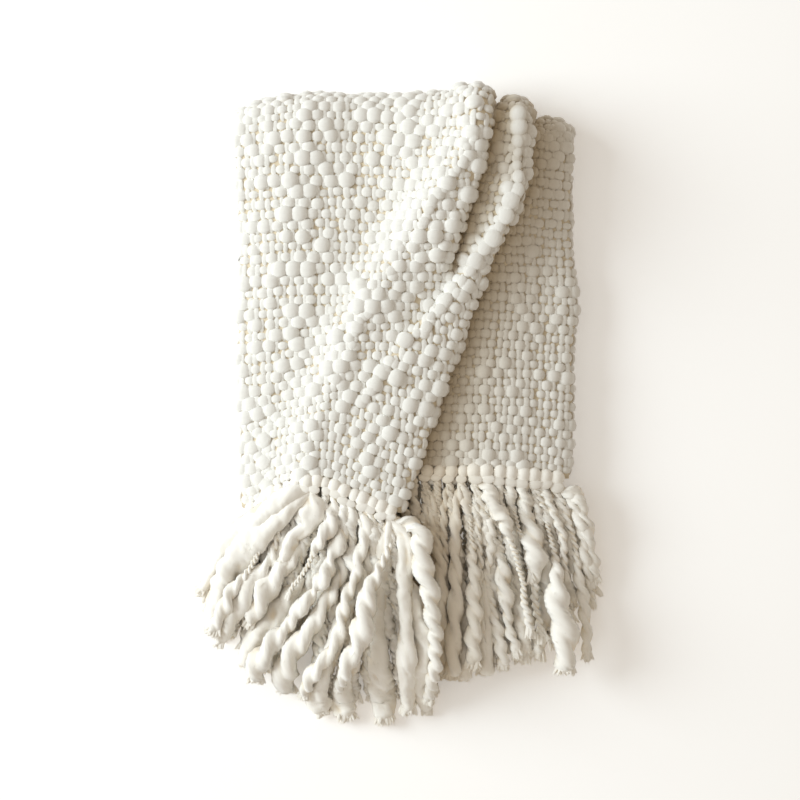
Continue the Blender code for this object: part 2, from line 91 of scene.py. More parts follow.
# name of a section's point, faces up to the next one, and where the front and back hems lie
sectionTable = (
    ("leftFlapEdge", 1, -0.072, -0.062), ("leftFlapMiddle", 1, -0.076, -0.062),
    ("leftFlapOver", 2, -0.090, -0.062), ("leftFlapDown", 1, -0.108, -0.062),
    ("leftFlapTurn", 2, -0.112, -0.062), ("leftFold", 2, -0.117, -0.061),
    ("panelStart", 2, -0.120, -0.060), ("panelLeft", 2, -0.118, -0.060),
    ("panelMiddle", 2, -0.112, -0.060), ("ridgeFoot", 2, -0.100, -0.060),
    ("ridge", 1, -0.087, -0.060), ("facet", 1, -0.085, -0.060),
    ("noseTop", 2, -0.084, -0.060), ("nose", 2, -0.084, -0.060),
    ("noseUnder", 1, -0.085, -0.060), ("tuckUpper", 2, -0.086, -0.060),
    ("tuck", 2, -0.087, -0.060), ("tuckLower", 1, -0.088, -0.060),
    ("valley", 1, -0.090, -0.060), ("lip", 1, -0.096, -0.060),
    ("edgeTop", 2, -0.122, -0.060), ("edge", 2, -0.123, -0.060),
    ("edgeUnder", 1, -0.120, -0.060), ("pocketUpper", 2, -0.087, -0.060),
    ("pocket", 2, -0.084, -0.060), ("pocketLower", 1, -0.081, -0.060),
    ("stripLeft", 1, -0.074, -0.060), ("stripMiddle", 1, -0.074, -0.060),
    ("stripRight", 1, -0.079, -0.060), ("stripEnd", 2, -0.084, -0.060),
    ("rightFold", 2, -0.084, -0.061), ("rightFlapTurn", 1, -0.082, -0.062),
    ("rightFlapDown", 2, -0.078, -0.063), ("rightFlapOver", 1, -0.073, -0.064),
    ("rightFlapMiddle", 1, -0.068, -0.064), ("rightFlapEdge", 0, -0.068, -0.064),
)
sectionNames = [row[0] for row in sectionTable]


def step(share):    # 0 before 0, 1 after 1, a smooth rise between
    share = min(max(share, 0.0), 1.0)
    return share * share * (3.0 - 2.0 * share)


def mix(low, high, share):
    return low + (high - low) * share


def readTable(columns, table, place):    # the columns at a place, on a smooth curve through the rows
    rows = np.array(table, dtype=float)
    keys = rows[:, 0]
    place = min(max(place, keys[0]), keys[-1])
    slopes = np.gradient(rows, keys, axis=0)
    at = min(int(np.searchsorted(keys, place, side="right")) - 1, len(keys) - 2)
    span = keys[at + 1] - keys[at]
    t = (place - keys[at]) / span
    value = ((2 * t**3 - 3 * t**2 + 1) * rows[at] + (t**3 - 2 * t**2 + t) * span * slopes[at]
             + (3 * t**2 - 2 * t**3) * rows[at + 1] + (t**3 - t**2) * span * slopes[at + 1])
    return dict(zip(columns, value.tolist()))


def wayAlong(points):    # distance along a line, at each of its points
    return np.concatenate([[0.0], np.cumsum(np.linalg.norm(np.diff(points, axis=0), axis=1))])


def smoothCurve(points, steps):    # a centripetal curve, with so many steps after each point
    p = np.array([tuple(q) for q in points])
    p = np.vstack([2 * p[0] - p[1], p, 2 * p[-1] - p[-2]])
    gaps = np.maximum(np.linalg.norm(np.diff(p, axis=0), axis=1), 1e-6)
    t = np.concatenate([[0.0], np.cumsum(gaps ** 0.5)])
    curve = [p[1]]
    for i in range(len(p) - 3):
        q, w = p[i:i + 4], t[i:i + 4]
        for k in range(1, steps[i] + 1):
            at = mix(w[1], w[2], k / steps[i])
            a = [((w[j + 1] - at) * q[j] + (at - w[j]) * q[j + 1]) / (w[j + 1] - w[j]) for j in range(3)]
            b = [((w[j + 2] - at) * a[j] + (at - w[j]) * a[j + 1]) / (w[j + 2] - w[j]) for j in range(2)]
            curve.append(((w[2] - at) * b[0] + (at - w[1]) * b[1]) / (w[2] - w[1]))
    return np.array(curve)


def pleat(nose, depth, high, low):    # its nose, the run under it and its inner fold
    closed = min(max(depth / (2 * turnRadius), 0.0), 1.0)
    if high > low:
        high = max(high, low + 2 * clothSizes["layer"] * closed)
    back = min(turnRadius, depth / 2) if depth > 0 else 0.0
    foldedX = (nose - back, nose, nose - back, nose - depth + back, nose - depth, nose - depth + back)
    foldedUp = (0.0, 0.235, 0.47, 0.53, 0.765, 1.0)
    points = []
    for k in range(6):
        openX = nose + max(-depth, clothSizes["opened"]) * k / 5
        x = mix(openX, foldedX[k], closed)
        turn = nose if k < 3 else nose - depth
        points.append((x, mix(high, low, mix(k / 5, foldedUp[k], closed)), mix(x, turn, closed)))
    return points


def outerPoints(row):    # from the left fold to the right one: x, height, and where layers are counted
    def own(x, up=0.0):    # they are counted at the point itself
        return x, up, x

    sizes = clothSizes
    left, right = row["left"] + sizes["skin"], row["right"] - sizes["skin"]
    ridge, nose, edge = row["ridge"], row["nose"] - sizes["skin"], row["edge"] - sizes["skin"]
    foot = max(ridge - sizes["ridgeFoot"], left + 3.5 * sizes["least"])
    first = pleat(nose, row["tuck"], row["noseUp"], row["valleyUp"])
    second = pleat(edge, row["pocket"], row["edgeUp"], row["stripUp"])
    inner, outer = first[5][0], second[5][0]
    valley = max(nose + sizes["over"], mix(inner, row["lip"], 0.3))
    stripLeft = max(edge + sizes["over"], outer + sizes["least"] / 2)
    stripMiddle = max(edge + sizes["rest"], frontFlaps["leftFlap"] + sizes["seat"],
                      stripLeft + sizes["least"])
    panelLeft = max(mix(left, foot, 0.3), left + turnRadius + sizes["least"])
    rightTurn = right - turnRadius
    return ([(left, None, left), (left + turnRadius, 0.0, left), own(panelLeft),
             own(mix(panelLeft, foot, 0.5)), own(foot, row["footUp"]), own(ridge, row["ridgeUp"]),
             own(mix(ridge, first[0][0], 0.5), row["facetUp"])]
            + first
            + [own(valley, row["valleyUp"]), own(row["lip"], row["lipUp"])]
            + second
            + [own(stripLeft, row["stripUp"]), own(stripMiddle), own(mix(stripMiddle, rightTurn, 0.6)),
               (rightTurn, 0.0, right), (right, None, right)])


def frontRow(y):
    row = readTable(frontColumns, frontTable, y)
    row["footUp"] = 0.10 * row["ridgeUp"]
    row["facetUp"] = mix(row["ridgeUp"], row["noseUp"], 0.45)
    row["edgeUp"] = 2 * clothSizes["layer"]
    row["stripUp"] = 0.0
    return row


def backRow(y):
    row = readTable(backColumns, backTable, y)
    row["stack"] = min(max(row["stack"], 0.0), 1.0)
    row["footUp"] = row["ridgeUp"] = row["facetUp"] = row["noseUp"] = row["edgeUp"] = row["lipUp"] = 0.0
    row["valleyUp"] = row["stripUp"] = 2 * clothSizes["layer"] * row["stack"]
    return row


def underLeftFlap(x, flaps):
    return 1.0 - step((x - flaps["leftFlap"] - clothSizes["seat"]) / clothSizes["ramp"])


def underRightFlap(x, flaps):
    return 1.0 - step((flaps["rightFlap"] - clothSizes["seat"] - x) / clothSizes["ramp"])


def overPleats(x):    # 1 over the pleats' layers, as the rise on their left and the one on their right
    sizes = clothSizes
    return (step((x - sizes["pleatLow"] + sizes["ramp"]) / sizes["ramp"]),
            step((sizes["pleatHigh"] + sizes["ramp"] - x) / sizes["ramp"]))


def levels(x, y):    # layers of cloth under each layer at a place
    back = backRow(y)
    backLeft = 1 + 2 * back["stack"] * min(overPleats(x))
    backRight = backLeft + underLeftFlap(x, back)
    frontRight = backRight + underRightFlap(x, back)
    frontLeft = frontRight + underRightFlap(x, frontFlaps)
    frontPanel = frontLeft + underLeftFlap(x, frontFlaps)
    return {"backLeft": backLeft, "backRight": backRight, "core": frontRight - 0.5,
            "frontRight": frontRight, "frontLeft": frontLeft, "frontPanel": frontPanel}


def layerHeight(level):
    return clothSizes["thick"] / 2 + clothSizes["layer"] * level


def flapPlaces(row, flaps):    # x of the five points of each flap
    sizes = clothSizes
    left, right = row["left"] + sizes["skin"], row["right"] - sizes["skin"]
    low, high = flaps["rightFlap"], flaps["leftFlap"]
    leftDown = max(low - sizes["seat"] - sizes["ramp"], left + turnRadius + sizes["least"])
    rightDown = min(high + sizes["seat"] + sizes["ramp"], right - turnRadius - sizes["least"])
    return ([high, mix(low, high, 0.5), max(low, leftDown + sizes["least"]), leftDown, left + turnRadius],
            [right - turnRadius, rightDown, min(high, rightDown - sizes["least"]), mix(low, high, 0.5), low])


def foldLine(x):
    sizes = clothSizes
    return (sizes["foldY"] + sizes["foldTilt"] * x + sizes["foldBow"] * x * x
            - sizes["foldDip"] * math.prod(overPleats(x)))


flapPoints = 5    # points of a section on each flap


def sectionPoint(side, index, y):
    row = frontRow(y) if side == "front" else backRow(y)
    leftX, rightX = flapPlaces(row, frontFlaps if side == "front" else row)
    outer = outerPoints(row)
    if index < flapPoints:
        x = leftX[index]
        countedAt = outer[0][0] if index == flapPoints - 1 else x
        return Vector((x, y, layerHeight(levels(countedAt, y)[side + "Left"])))
    if index >= len(sectionTable) - flapPoints:
        place = index - len(sectionTable) + flapPoints
        x = rightX[place]
        countedAt = outer[-1][0] if place == 0 else x
        return Vector((x, y, layerHeight(levels(countedAt, y)[side + "Right"])))
    x, up, countedAt = outer[index - flapPoints]
    level = levels(countedAt, y)
    panel = level["frontPanel"] if side == "front" else 0.0
    if up is None:
        flap = side + ("Left" if index == flapPoints else "Right")
        return Vector((x, y, (layerHeight(level[flap]) + layerHeight(panel)) / 2))
    return Vector((x, y, layerHeight(panel) + up))


foldPlaces = [foldLine(sectionPoint("front", i, clothSizes["foldY"]).x) for i in range(len(sectionTable))]


def clothRow(side, share, finer=1):    # a row across the cloth, at a share of a half or degrees of the turn
    points = []
    for i, (_, _, frontHem, backHem) in enumerate(sectionTable):
        fold = foldPlaces[i]
        if side == "front":
            points.append(sectionPoint("front", i, mix(frontHem, fold, share)))
        elif side == "back":
            points.append(sectionPoint("back", i, mix(fold, backHem, share)))
        else:
            top, low = sectionPoint("front", i, fold), sectionPoint("back", i, fold)
            core = layerHeight(levels(top.x, fold)["core"])
            reach = mix(top.z - core, core - low.z, step(share / 180))
            angle = math.radians(share)
            points.append(Vector((mix(top.x, low.x, share / 180), fold + reach * math.sin(angle),
                                  core + reach * math.cos(angle))))
    row = smoothCurve(points, [finer * entry[1] for entry in sectionTable])
    row[:, 2] = np.maximum(row[:, 2], clothSizes["thick"] / 2)
    return row


weave = {
    "frontPicks": 35,        # rows of weft up the front, round the fold and down the back
    "turnPicks": 9,
    "backPicks": 31,
    "rowsPerPick": 2,        # sections of the cloth worked out for each row of weft
    "finer": 4,              # and how many times finer their points lie than the solid's
    "step": 0.0015,          # spacing of the surface's own columns
    "endPitch": 0.0084,      # warp ends
    "endRadius": 0.0034,
    "endRadii": (0.0022, 0.0045),    # the least and the most
    "pickPitch": 0.0131,
    "pickRadius": 0.0044,    # the thin stretches of weft
    "slubRadius": 0.0080,    # its thickest stretches
    "slubLong": (0.012, 0.075),    # length of a thick stretch and of a thin one
    "slubGap": (0.006, 0.062),
    "slubFull": (0.35, 0.55, 0.70, 0.85, 1.0),
    "slubEdge": 0.006,       # length in which a stretch swells
    "overFold": 0.030,       # how far the yarns go on past the side folds
    "pastEnd": 0.004,        # and past the end of their surface
    "sides": 8,
    "lift": 0.0016,          # yarn's middle above the cloth's, where it is thinnest
    "liftByRadius": 0.30,    # how much higher a thicker yarn rides
    "foot": -0.0004,         # height of a bead's ends
    "weftBead": (1.16, 0.86),    # half width and half height of a bead, in the yarn's radii
    "warpBead": (1.15, 0.90),
    # height, half width, half height and painted shade of a yarn where it passes under another
    "weftUnder": (-0.0006, 0.0016, 0.0012, 0.0),
    "warpUnder": (-0.0006, 0.0015, 0.0012, 0.0),
}
pickCount = weave["frontPicks"] + weave["turnPicks"] + weave["backPicks"]


def rowAt(pick, finer=weave["finer"]):    # the cloth's section at a row of weft
    front, turn = weave["frontPicks"], weave["turnPicks"]
    if pick <= front:
        return clothRow("front", pick / front, finer)
    if pick <= front + turn:
        return clothRow("turn", 180 * (pick - front) / turn, finer)
    return clothRow("back", (pick - front - turn) / weave["backPicks"], finer)


def unit(vectors):
    return vectors / np.maximum(np.linalg.norm(vectors, axis=-1, keepdims=True), 1e-12)


def blend(values, share):    # between neighbours of a grid
    return values[0] * (1 - share) + values[1] * share


class Surface:    # the middle of the cloth, by row of weft and by distance from a side fold
    def __init__(self, rows, anchor, end, direction):
        steps = np.cumsum([0] + [weave["finer"] * entry[1] for entry in sectionTable])
        anchorAt, endAt = steps[sectionNames.index(anchor)], steps[sectionNames.index(end)]
        self.ends, lines = [], []
        for row in rows:
            length = wayAlong(row)
            place = (length - length[anchorAt]) * direction
            self.ends.append(place[endAt])
            lines.append((place[::direction], row[::direction]))
        self.ends = np.array(self.ends)
        self.start = -weave["overFold"] - 4 * weave["step"]
        places = np.arange(self.start, self.ends.max() + 0.03, weave["step"])
        self.grid = np.array([[np.interp(places, place, row[:, k]) for k in range(3)]
                              for place, row in lines]).transpose(0, 2, 1)
        across = np.gradient(self.grid, axis=1) * direction
        along = np.gradient(self.grid, axis=0)
        self.normal = unit(np.cross(across, along))

    def look(self, grid, pick, place):
        r = np.clip(np.asarray(pick) * weave["rowsPerPick"], 0, grid.shape[0] - 1.001)
        c = np.clip((np.asarray(place) - self.start) / weave["step"], 0, grid.shape[1] - 1.001)
        i, j = r.astype(int), c.astype(int)
        u, v = (r - i)[..., None], (c - j)[..., None]
        return blend([blend([grid[k, j], grid[k, j + 1]], v) for k in (i, i + 1)], u)

    def at(self, pick, place):
        return self.look(self.grid, pick, place), unit(self.look(self.normal, pick, place))

    def endAt(self, pick):
        return np.interp(np.asarray(pick) * weave["rowsPerPick"], np.arange(len(self.ends)), self.ends)


denseRows = [rowAt(k / weave["rowsPerPick"]) for k in range(weave["rowsPerPick"] * pickCount + 1)]
leftSurface = Surface(denseRows, "leftFold", "pocket", 1)
rightSurface = Surface(denseRows, "rightFold", "pocket", -1)
print("cloth laid out:", len(denseRows), "rows")


def foldCurve(name, low, high):    # a fold's top, from the far end to the near one, at even steps
    places = [sectionPoint("front", sectionNames.index(name), y) for y in np.linspace(high, low, 90)]
    line = np.array([tuple(p) for p in places])
    return line, wayAlong(line)


shelterShadeSizes = {
    # painted shade beside the folds: a fold, how strongly the wool beside it is painted darker and warmer,
    # how far from it that starts to fade, how far it reaches, and how deep under it the painted shade is full
    "folds": (("noseTop", 1.00, 0.012, 0.034, 0.006), ("edgeTop", 0.90, 0.014, 0.045, 0.010)),
    "along": (-0.13, 0.345),    # from y to y
    "soft": 0.006,           # width over which it sets in at the fold
    "fanEdge": 0.040,        # painted shade right of the fan, over the fringe beside it
    "fanReach": 0.050,
    "fanStrength": 0.50,
}


def paintShelterShade(places, slot, nodes):    # painted shade: under 1 where a fold or the fan stands over the wool on its left
    share = np.ones(len(places))
    if "fringe_right" in nodes:
        beyond = np.maximum(places[:, 0] - shelterShadeSizes["fanEdge"], 0)
        return share - shelterShadeSizes["fanStrength"] * np.exp(-(beyond / shelterShadeSizes["fanReach"]) ** 2)
    if slot != "cloth":
        return share
    for name, strength, start, reach, depth in shelterShadeSizes["folds"]:
        line = foldCurve(name, *shelterShadeSizes["along"])[0][::-1]
        beyond = places[:, 0] - np.interp(places[:, 1], line[:, 1], line[:, 0])
        under = np.interp(places[:, 1], line[:, 1], line[:, 2]) - places[:, 2]
        inside = np.clip(beyond / shelterShadeSizes["soft"], 0, 1) * np.clip(under / depth, 0, 1)
        share = np.minimum(share, 1 - strength * inside * np.exp(-np.maximum(beyond - start, 0) / reach))
    return share


def softenNormals(mesh, lean, softness, wrap=0.35):    # fluffy wool lets light through, so it shades softly
    normals = np.empty(len(mesh.vertices) * 3, dtype=np.float32)
    mesh.vertex_normals.foreach_get("vector", normals)
    normals = normals.reshape(-1, 3)
    lean = lean / np.maximum(np.linalg.norm(lean, axis=1, keepdims=True), 1e-9)
    facing = np.sum(normals * lean, axis=1, keepdims=True)
    normals = normals + softness * lean * np.clip(facing + wrap, 0, 1)
    normals /= np.maximum(np.linalg.norm(normals, axis=1, keepdims=True), 1e-9)
    mesh.normals_split_custom_set_from_vertices(normals.tolist())


def pressedFlat(heights, low=0.0002, soft=0.0025):    # wool that would sink into the floor lies flat on it
    return np.where(heights < low + soft, low + soft * np.exp((heights - low) / soft - 1), heights)


def addObject(name, data):
    piece = bpy.data.objects.new(name, data)
    bpy.context.scene.collection.objects.link(piece)
    return piece


class Threads:    # collects tubes and lumps, and joins them in one mesh
    def __init__(self):
        self.places, self.faces, self.fibre, self.depth, self.lean, self.count = [], [], [], [], [], 0

    def tube(self, middle, side, up, wide, high, depth, sides=8, along=0.0, rough=None, twist=0.0):
        middle, side, up = (np.asarray(values, float) for values in (middle, side, up))
        wide, high, depth, twist = (np.broadcast_to(np.asarray(values, float), len(middle))
                                    for values in (wide, high, depth, twist))
        turn = np.arange(sides) * (2 * math.pi / sides)
        total = turn[None, :] + twist[:, None]
        a = np.cos(total)[:, :, None] * wide[:, None, None] * side[:, None, :]
        b = np.sin(total)[:, :, None] * high[:, None, None] * up[:, None, :]
        # painted shade: darker towards the underside of each ring, as far as its depth says
        facing = np.clip(0.5 + 0.5 * np.sin(total), 0, 1) * depth[:, None]
        if rough is not None:
            a, b = a * rough[:, :, None], b * rough[:, :, None]
            facing = facing * np.clip(1 + 1.6 * (rough - rough.mean()), 0.35, 1)    # painted shade, darker in the hollows
        rings = middle[:, None, :] + a + b
        length = along + wayAlong(middle)
        fibre = np.stack([np.broadcast_to(length[:, None], (len(middle), sides)),
                          np.cos(turn)[None, :] * wide[:, None],
                          np.sin(turn)[None, :] * high[:, None]], axis=2)
        first, n = self.count, len(middle)
        index = first + np.arange(n * sides).reshape(n, sides)
        nextSide = np.roll(index, -1, axis=1)
        quads = np.stack([index[:-1], nextSide[:-1], nextSide[1:], index[1:]], axis=2).reshape(-1, 4)
        self.faces += quads.tolist() + [index[0, ::-1].tolist(), index[-1].tolist()]
        self.places.append(rings.reshape(-1, 3))
        self.fibre.append(fibre.reshape(-1, 3))
        self.depth.append(facing.reshape(-1))
        self.lean.append(np.repeat(np.broadcast_to(up, (n, 3)), sides, axis=0))
        self.count += n * sides

    def make(self, name, material, slot, nodes=(), softness=1.0):
        places = np.concatenate(self.places)
        places[:, 2] = pressedFlat(places[:, 2])
        mesh = bpy.data.meshes.new(name)
        mesh.from_pydata(places.tolist(), [], self.faces)
        # two attributes carry painted shade to the material: one by facing and place in the weave, one beside
        # the folds and the fan
        for label, kind, field, values in (("fibre", "FLOAT_VECTOR", "vector", np.concatenate(self.fibre)),
                                           ("depth", "FLOAT", "value", np.concatenate(self.depth)),
                                           ("shelterShade", "FLOAT", "value", paintShelterShade(places, slot, nodes))):
            attribute = mesh.attributes.new(label, kind, "POINT")
            attribute.data.foreach_set(field, values.astype(np.float32).ravel())
        mesh.update()
        mesh.shade_smooth()
        softenNormals(mesh, np.concatenate(self.lean), softness)
        mesh.materials.append(material)
        piece = addObject(name, mesh)
        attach(piece, "root")
        if nodes:
            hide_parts(*nodes)
        print(name, "made:", sum(len(face) - 2 for face in self.faces), "triangles")
        return piece


def swollen(place, at, run, edge):    # 1 in a stretch of yarn, with a smooth rise at either end
    edge = min(edge, run / 2)
    rise = np.clip((place - at) / edge, 0, 1) * np.clip((at + run - place) / edge, 0, 1)
    return rise * rise * (3 - 2 * rise)


def slubs(rng, length, share):    # how swollen a yarn is along its way, from 0 to 1
    spacing = weave["step"]
    count = int(length / spacing) + 2
    place = np.arange(count) * spacing
    swell = np.zeros(count)
    at = rng.uniform(-0.05, 0.03)
    while at < length:
        run = rng.uniform(*weave["slubLong"])
        high = rng.choice(weave["slubFull"]) * rng.uniform(0.85, 1.05)
        swell = np.maximum(swell, high * swollen(place, at, run, weave["slubEdge"]))
        at += run + rng.uniform(*weave["slubGap"]) * (1 - share) / share
    return swell


crowding = {
    "closest": 0.66,         # least distance of two rows of weft, in pitches
    "swollen": 0.66,         # how much more room their thick stretches take
    "rounds": 80,            # rounds in which they push one another apart
    "push": 0.22,
    "back": 0.06,            # how far each round pulls them back to an even spacing
    "even": 0.18,            # and towards the places beside them
    "swellNoise": 0.12,      # unevenness of the yarns and of where they lie
    "radiusNoise": 0.08,
    "endNoise": (0.10, 0.06),    # from one warp end to the next, and along each
    "wander": 0.00014,       # of a warp end, from row to row and at each crossing
    "shake": 0.0009,
    "rowShake": 0.045,       # of a row of weft, in pitches
}


def weaveField(surface, seed, slubShare, slubSize):    # sizes and relaxed places of every crossing
    rng = random.Random(seed)
    ends = int((surface.ends.max() + weave["overFold"]) / weave["endPitch"]) + 1
    endPlace = -weave["overFold"] + (np.arange(ends) + 0.5) * weave["endPitch"]

    def noiseField():
        return np.array([[rng.gauss(0, 1) for _ in range(ends)] for _ in range(pickCount)])

    swell = np.zeros((pickCount, ends))
    for i in range(pickCount):
        run = slubs(rng, endPlace[-1] + weave["overFold"], slubShare)
        swell[i] = np.interp(endPlace + weave["overFold"], np.arange(len(run)) * weave["step"], run)
    noise = noiseField()
    swell = np.clip(swell * slubSize + crowding["swellNoise"] * noise, 0, 1.05)
    radius = mix(weave["pickRadius"], weave["slubRadius"], swell) * (1 + crowding["radiusNoise"] * noise)
    place = np.repeat((np.arange(pickCount) + 0.5)[:, None], ends, axis=1)
    excess = radius[1:] + radius[:-1] - 2 * weave["pickRadius"]
    wanted = crowding["closest"] + crowding["swollen"] * excess / weave["pickPitch"]
    base = place.copy()
    for _ in range(crowding["rounds"]):
        push = (wanted - np.diff(place, axis=0)) * crowding["push"]
        place[:-1] -= push
        place[1:] += push
        place += crowding["back"] * (base - place)
        smoothed = (np.roll(place, 1, axis=1) + np.roll(place, -1, axis=1)) / 2
        smoothed[:, 0], smoothed[:, -1] = place[:, 1], place[:, -2]
        place = mix(place, smoothed, crowding["even"])
    between, within = crowding["endNoise"]
    endRadius = weave["endRadius"] * (1 + between * np.array([rng.gauss(0, 1) for _ in range(ends)]))
    endRadius = np.clip(endRadius * (1 + within * noise), *weave["endRadii"])
    wander = np.cumsum(noiseField(), axis=0)
    wander -= np.linspace(0, 1, pickCount)[:, None] * wander[-1]
    endAt = endPlace[None, :] + crowding["wander"] * wander + crowding["shake"] * noise
    place = place + crowding["rowShake"] * noiseField()
    return {"radius": radius, "swell": swell, "place": np.clip(place, 0.2, pickCount - 0.2),
            "endRadius": endRadius, "endAt": endAt, "ends": ends}


# Along a bead: the place as a share of its half length, how full it is there and how far it has risen.
bead = ((-1.0, 0.40, 0.0), (-0.86, 0.63, 0.42), (-0.58, 0.88, 0.84), (-0.20, 1.0, 1.0),
        (0.20, 1.0, 1.0), (0.58, 0.88, 0.84), (0.86, 0.63, 0.42), (1.0, 0.40, 0.0))


def addYarn(threads, surface, rings):    # row, place, height, half width, half height and painted shade of each ring
    if len(rings) < 3:
        return
    rows, places, high, wide, tall, depth = np.array(rings, dtype=float).T
    middle, normal = surface.at(rows, places)
    middle = middle + normal * high[:, None]
    along = unit(np.gradient(middle, axis=0))
    side = unit(np.cross(normal, along))
    up = unit(np.cross(along, side))
    threads.tube(middle, side, up, wide, tall, depth, weave["sides"], along=37.0 * rows[0] + 11.0 * places[0])


def weftTubes(threads, surface, field, picks):
    wide, tall = weave["weftBead"]
    for i in picks:
        end = surface.endAt(i + 0.5)
        rings = []
        for j in range(field["ends"]):
            row, at, r = field["place"][i, j], field["endAt"][i, j], field["radius"][i, j]
            if at > end + weave["pastEnd"]:
                break
            if (i + j) % 2:
                rings.append((row, at, *weave["weftUnder"]))
                continue
            reach = weave["endPitch"] * mix(0.70, 1.02, field["swell"][i, j])
            top = weave["lift"] + weave["liftByRadius"] * r
            # painted shade, darker towards a bead's ends
            rings += [(row, at + share * reach, mix(weave["foot"], top, rise), r * wide * full,
                       r * tall * full, mix(0.45, 1.0, rise)) for share, full, rise in bead]
        addYarn(threads, surface, rings)


def warpTubes(threads, surface, field, ends):
    wide, tall = weave["warpBead"]
    for j in ends:
        rings = []
        for i in range(pickCount):
            row, at, r = field["place"][i, j], field["endAt"][i, j], field["endRadius"][i, j]
            if at >= surface.endAt(i + 0.5) + weave["pastEnd"]:
                addYarn(threads, surface, rings)
                rings = []
                continue
            if (i + j) % 2 == 0:
                rings.append((row, at, *weave["warpUnder"]))
                continue
            below = field["place"][i - 1, j] if i else row - 1
            above = field["place"][i + 1, j] if i + 1 < pickCount else row + 1
            top = weave["lift"] + weave["liftByRadius"] * r + 0.10 * field["radius"][i, j]
            # painted shade, darker towards a bead's ends
            rings += [(row + 0.60 * share * (above - row if share > 0 else row - below), at,
                       mix(weave["foot"], top, rise), r * wide * full, r * tall * full,
                       mix(0.45, 0.95, rise)) for share, full, rise in bead]
        addYarn(threads, surface, rings)


class Value:    # a socket, with arithmetic that adds Math nodes
    def __init__(self, nodes, socket):
        self.nodes, self.socket = nodes, socket

    def math(self, operation, other, swap=False):
        pair = (other, self) if swap else (self, other)
        return self.nodes.add("ShaderNodeMath", {"operation": operation}, {0: pair[0], 1: pair[1]})[0]

    def __add__(self, other):
        return self.math("ADD", other)

    __radd__ = __add__

    def __mul__(self, other):
        return self.math("MULTIPLY", other)

    __rmul__ = __mul__

    def __sub__(self, other):
        return self.math("SUBTRACT", other)

    def __rsub__(self, other):
        return self.math("SUBTRACT", other, swap=True)


class Nodes:    # a material's nodes
    def __init__(self, name, roughness, sheen):
        self.material = bpy.data.materials.new(name)
        self.material.use_nodes = True
        self.tree = self.material.node_tree
        self.shader = self.tree.nodes["Principled BSDF"]
        self.shader.inputs["Roughness"].default_value = roughness
        self.shader.inputs["Sheen Weight"].default_value = sheen
        self.shader.inputs["Sheen Roughness"].default_value = 0.6
        self.shader.inputs["Specular IOR Level"].default_value = 0.1

    def add(self, kind, settings=None, sockets=None):
        node = self.tree.nodes.new(kind)
        for name, value in (settings or {}).items():
            setattr(node, name, value)
        for name, value in (sockets or {}).items():
            if isinstance(value, Value):
                self.tree.links.new(value.socket, node.inputs[name])
            else:
                node.inputs[name].default_value = value
        return [Value(self, socket) for socket in node.outputs]

    def noise(self, place, scale, detail):
        return self.add("ShaderNodeTexNoise", {}, {"Vector": place, "Scale": scale, "Detail": detail})[0]

    def attribute(self, name, output):
        return self.add("ShaderNodeAttribute", {"attribute_name": name})[output]

    def mixColours(self, factor, low, high):
        return self.add("ShaderNodeMix", {"data_type": "RGBA"}, {0: factor, 6: low, 7: high})[2]

    def finish(self, colour, bump, strength, distance):
        sockets = {"Height": bump, "Strength": strength, "Distance": distance}
        normal = self.add("ShaderNodeBump", {}, sockets)[0]
        self.tree.links.new(colour.socket, self.shader.inputs["Base Color"])
        self.tree.links.new(normal.socket, self.shader.inputs["Normal"])
        return self.material


wool = {
    "roughness": 0.92,
    "sheen": 0.5,
    "drawnOut": (0.14, 1.0, 1.0),    # the streaks are longer along the yarn
    "fuzz": 420.0,
    "patches": 26.0,
    "shade": (0.05, 0.75),    # painted shade: from the crevice colour to the open wool, by the depth attribute
    "bumpDepth": 0.0009,
}
yarnFinish = {
    # painted shade in the crevices: under other yarns, at bead ends and on undersides
    "crevice": (0.58, 0.49, 0.36, 1),
    "cream": (0.80, 0.785, 0.735, 1),
    "bright": (0.885, 0.875, 0.84, 1),
    "shelterShadeCream": (0.50, 0.405, 0.27, 1),    # painted shade where a fold stands over the wool, on the open wool and in the crevices
    "shelterShadeCrevice": (0.26, 0.19, 0.10, 1),
    "bump": 0.45,
    "streaks": 800.0,
}
rovingFinish = {
    # painted shade on the undersides and in the hollows of the strands
    "crevice": (0.86, 0.73, 0.52, 1),
    "cream": (0.955, 0.92, 0.83, 1),
    "bright": (0.99, 0.975, 0.935, 1),
    # painted shade beside the fan, on the open wool and in the crevices
    "shelterShadeCream": (0.72, 0.59, 0.40, 1),
    "shelterShadeCrevice": (0.42, 0.30, 0.16, 1),
    "bump": 0.30,
    "streaks": 430.0,
}


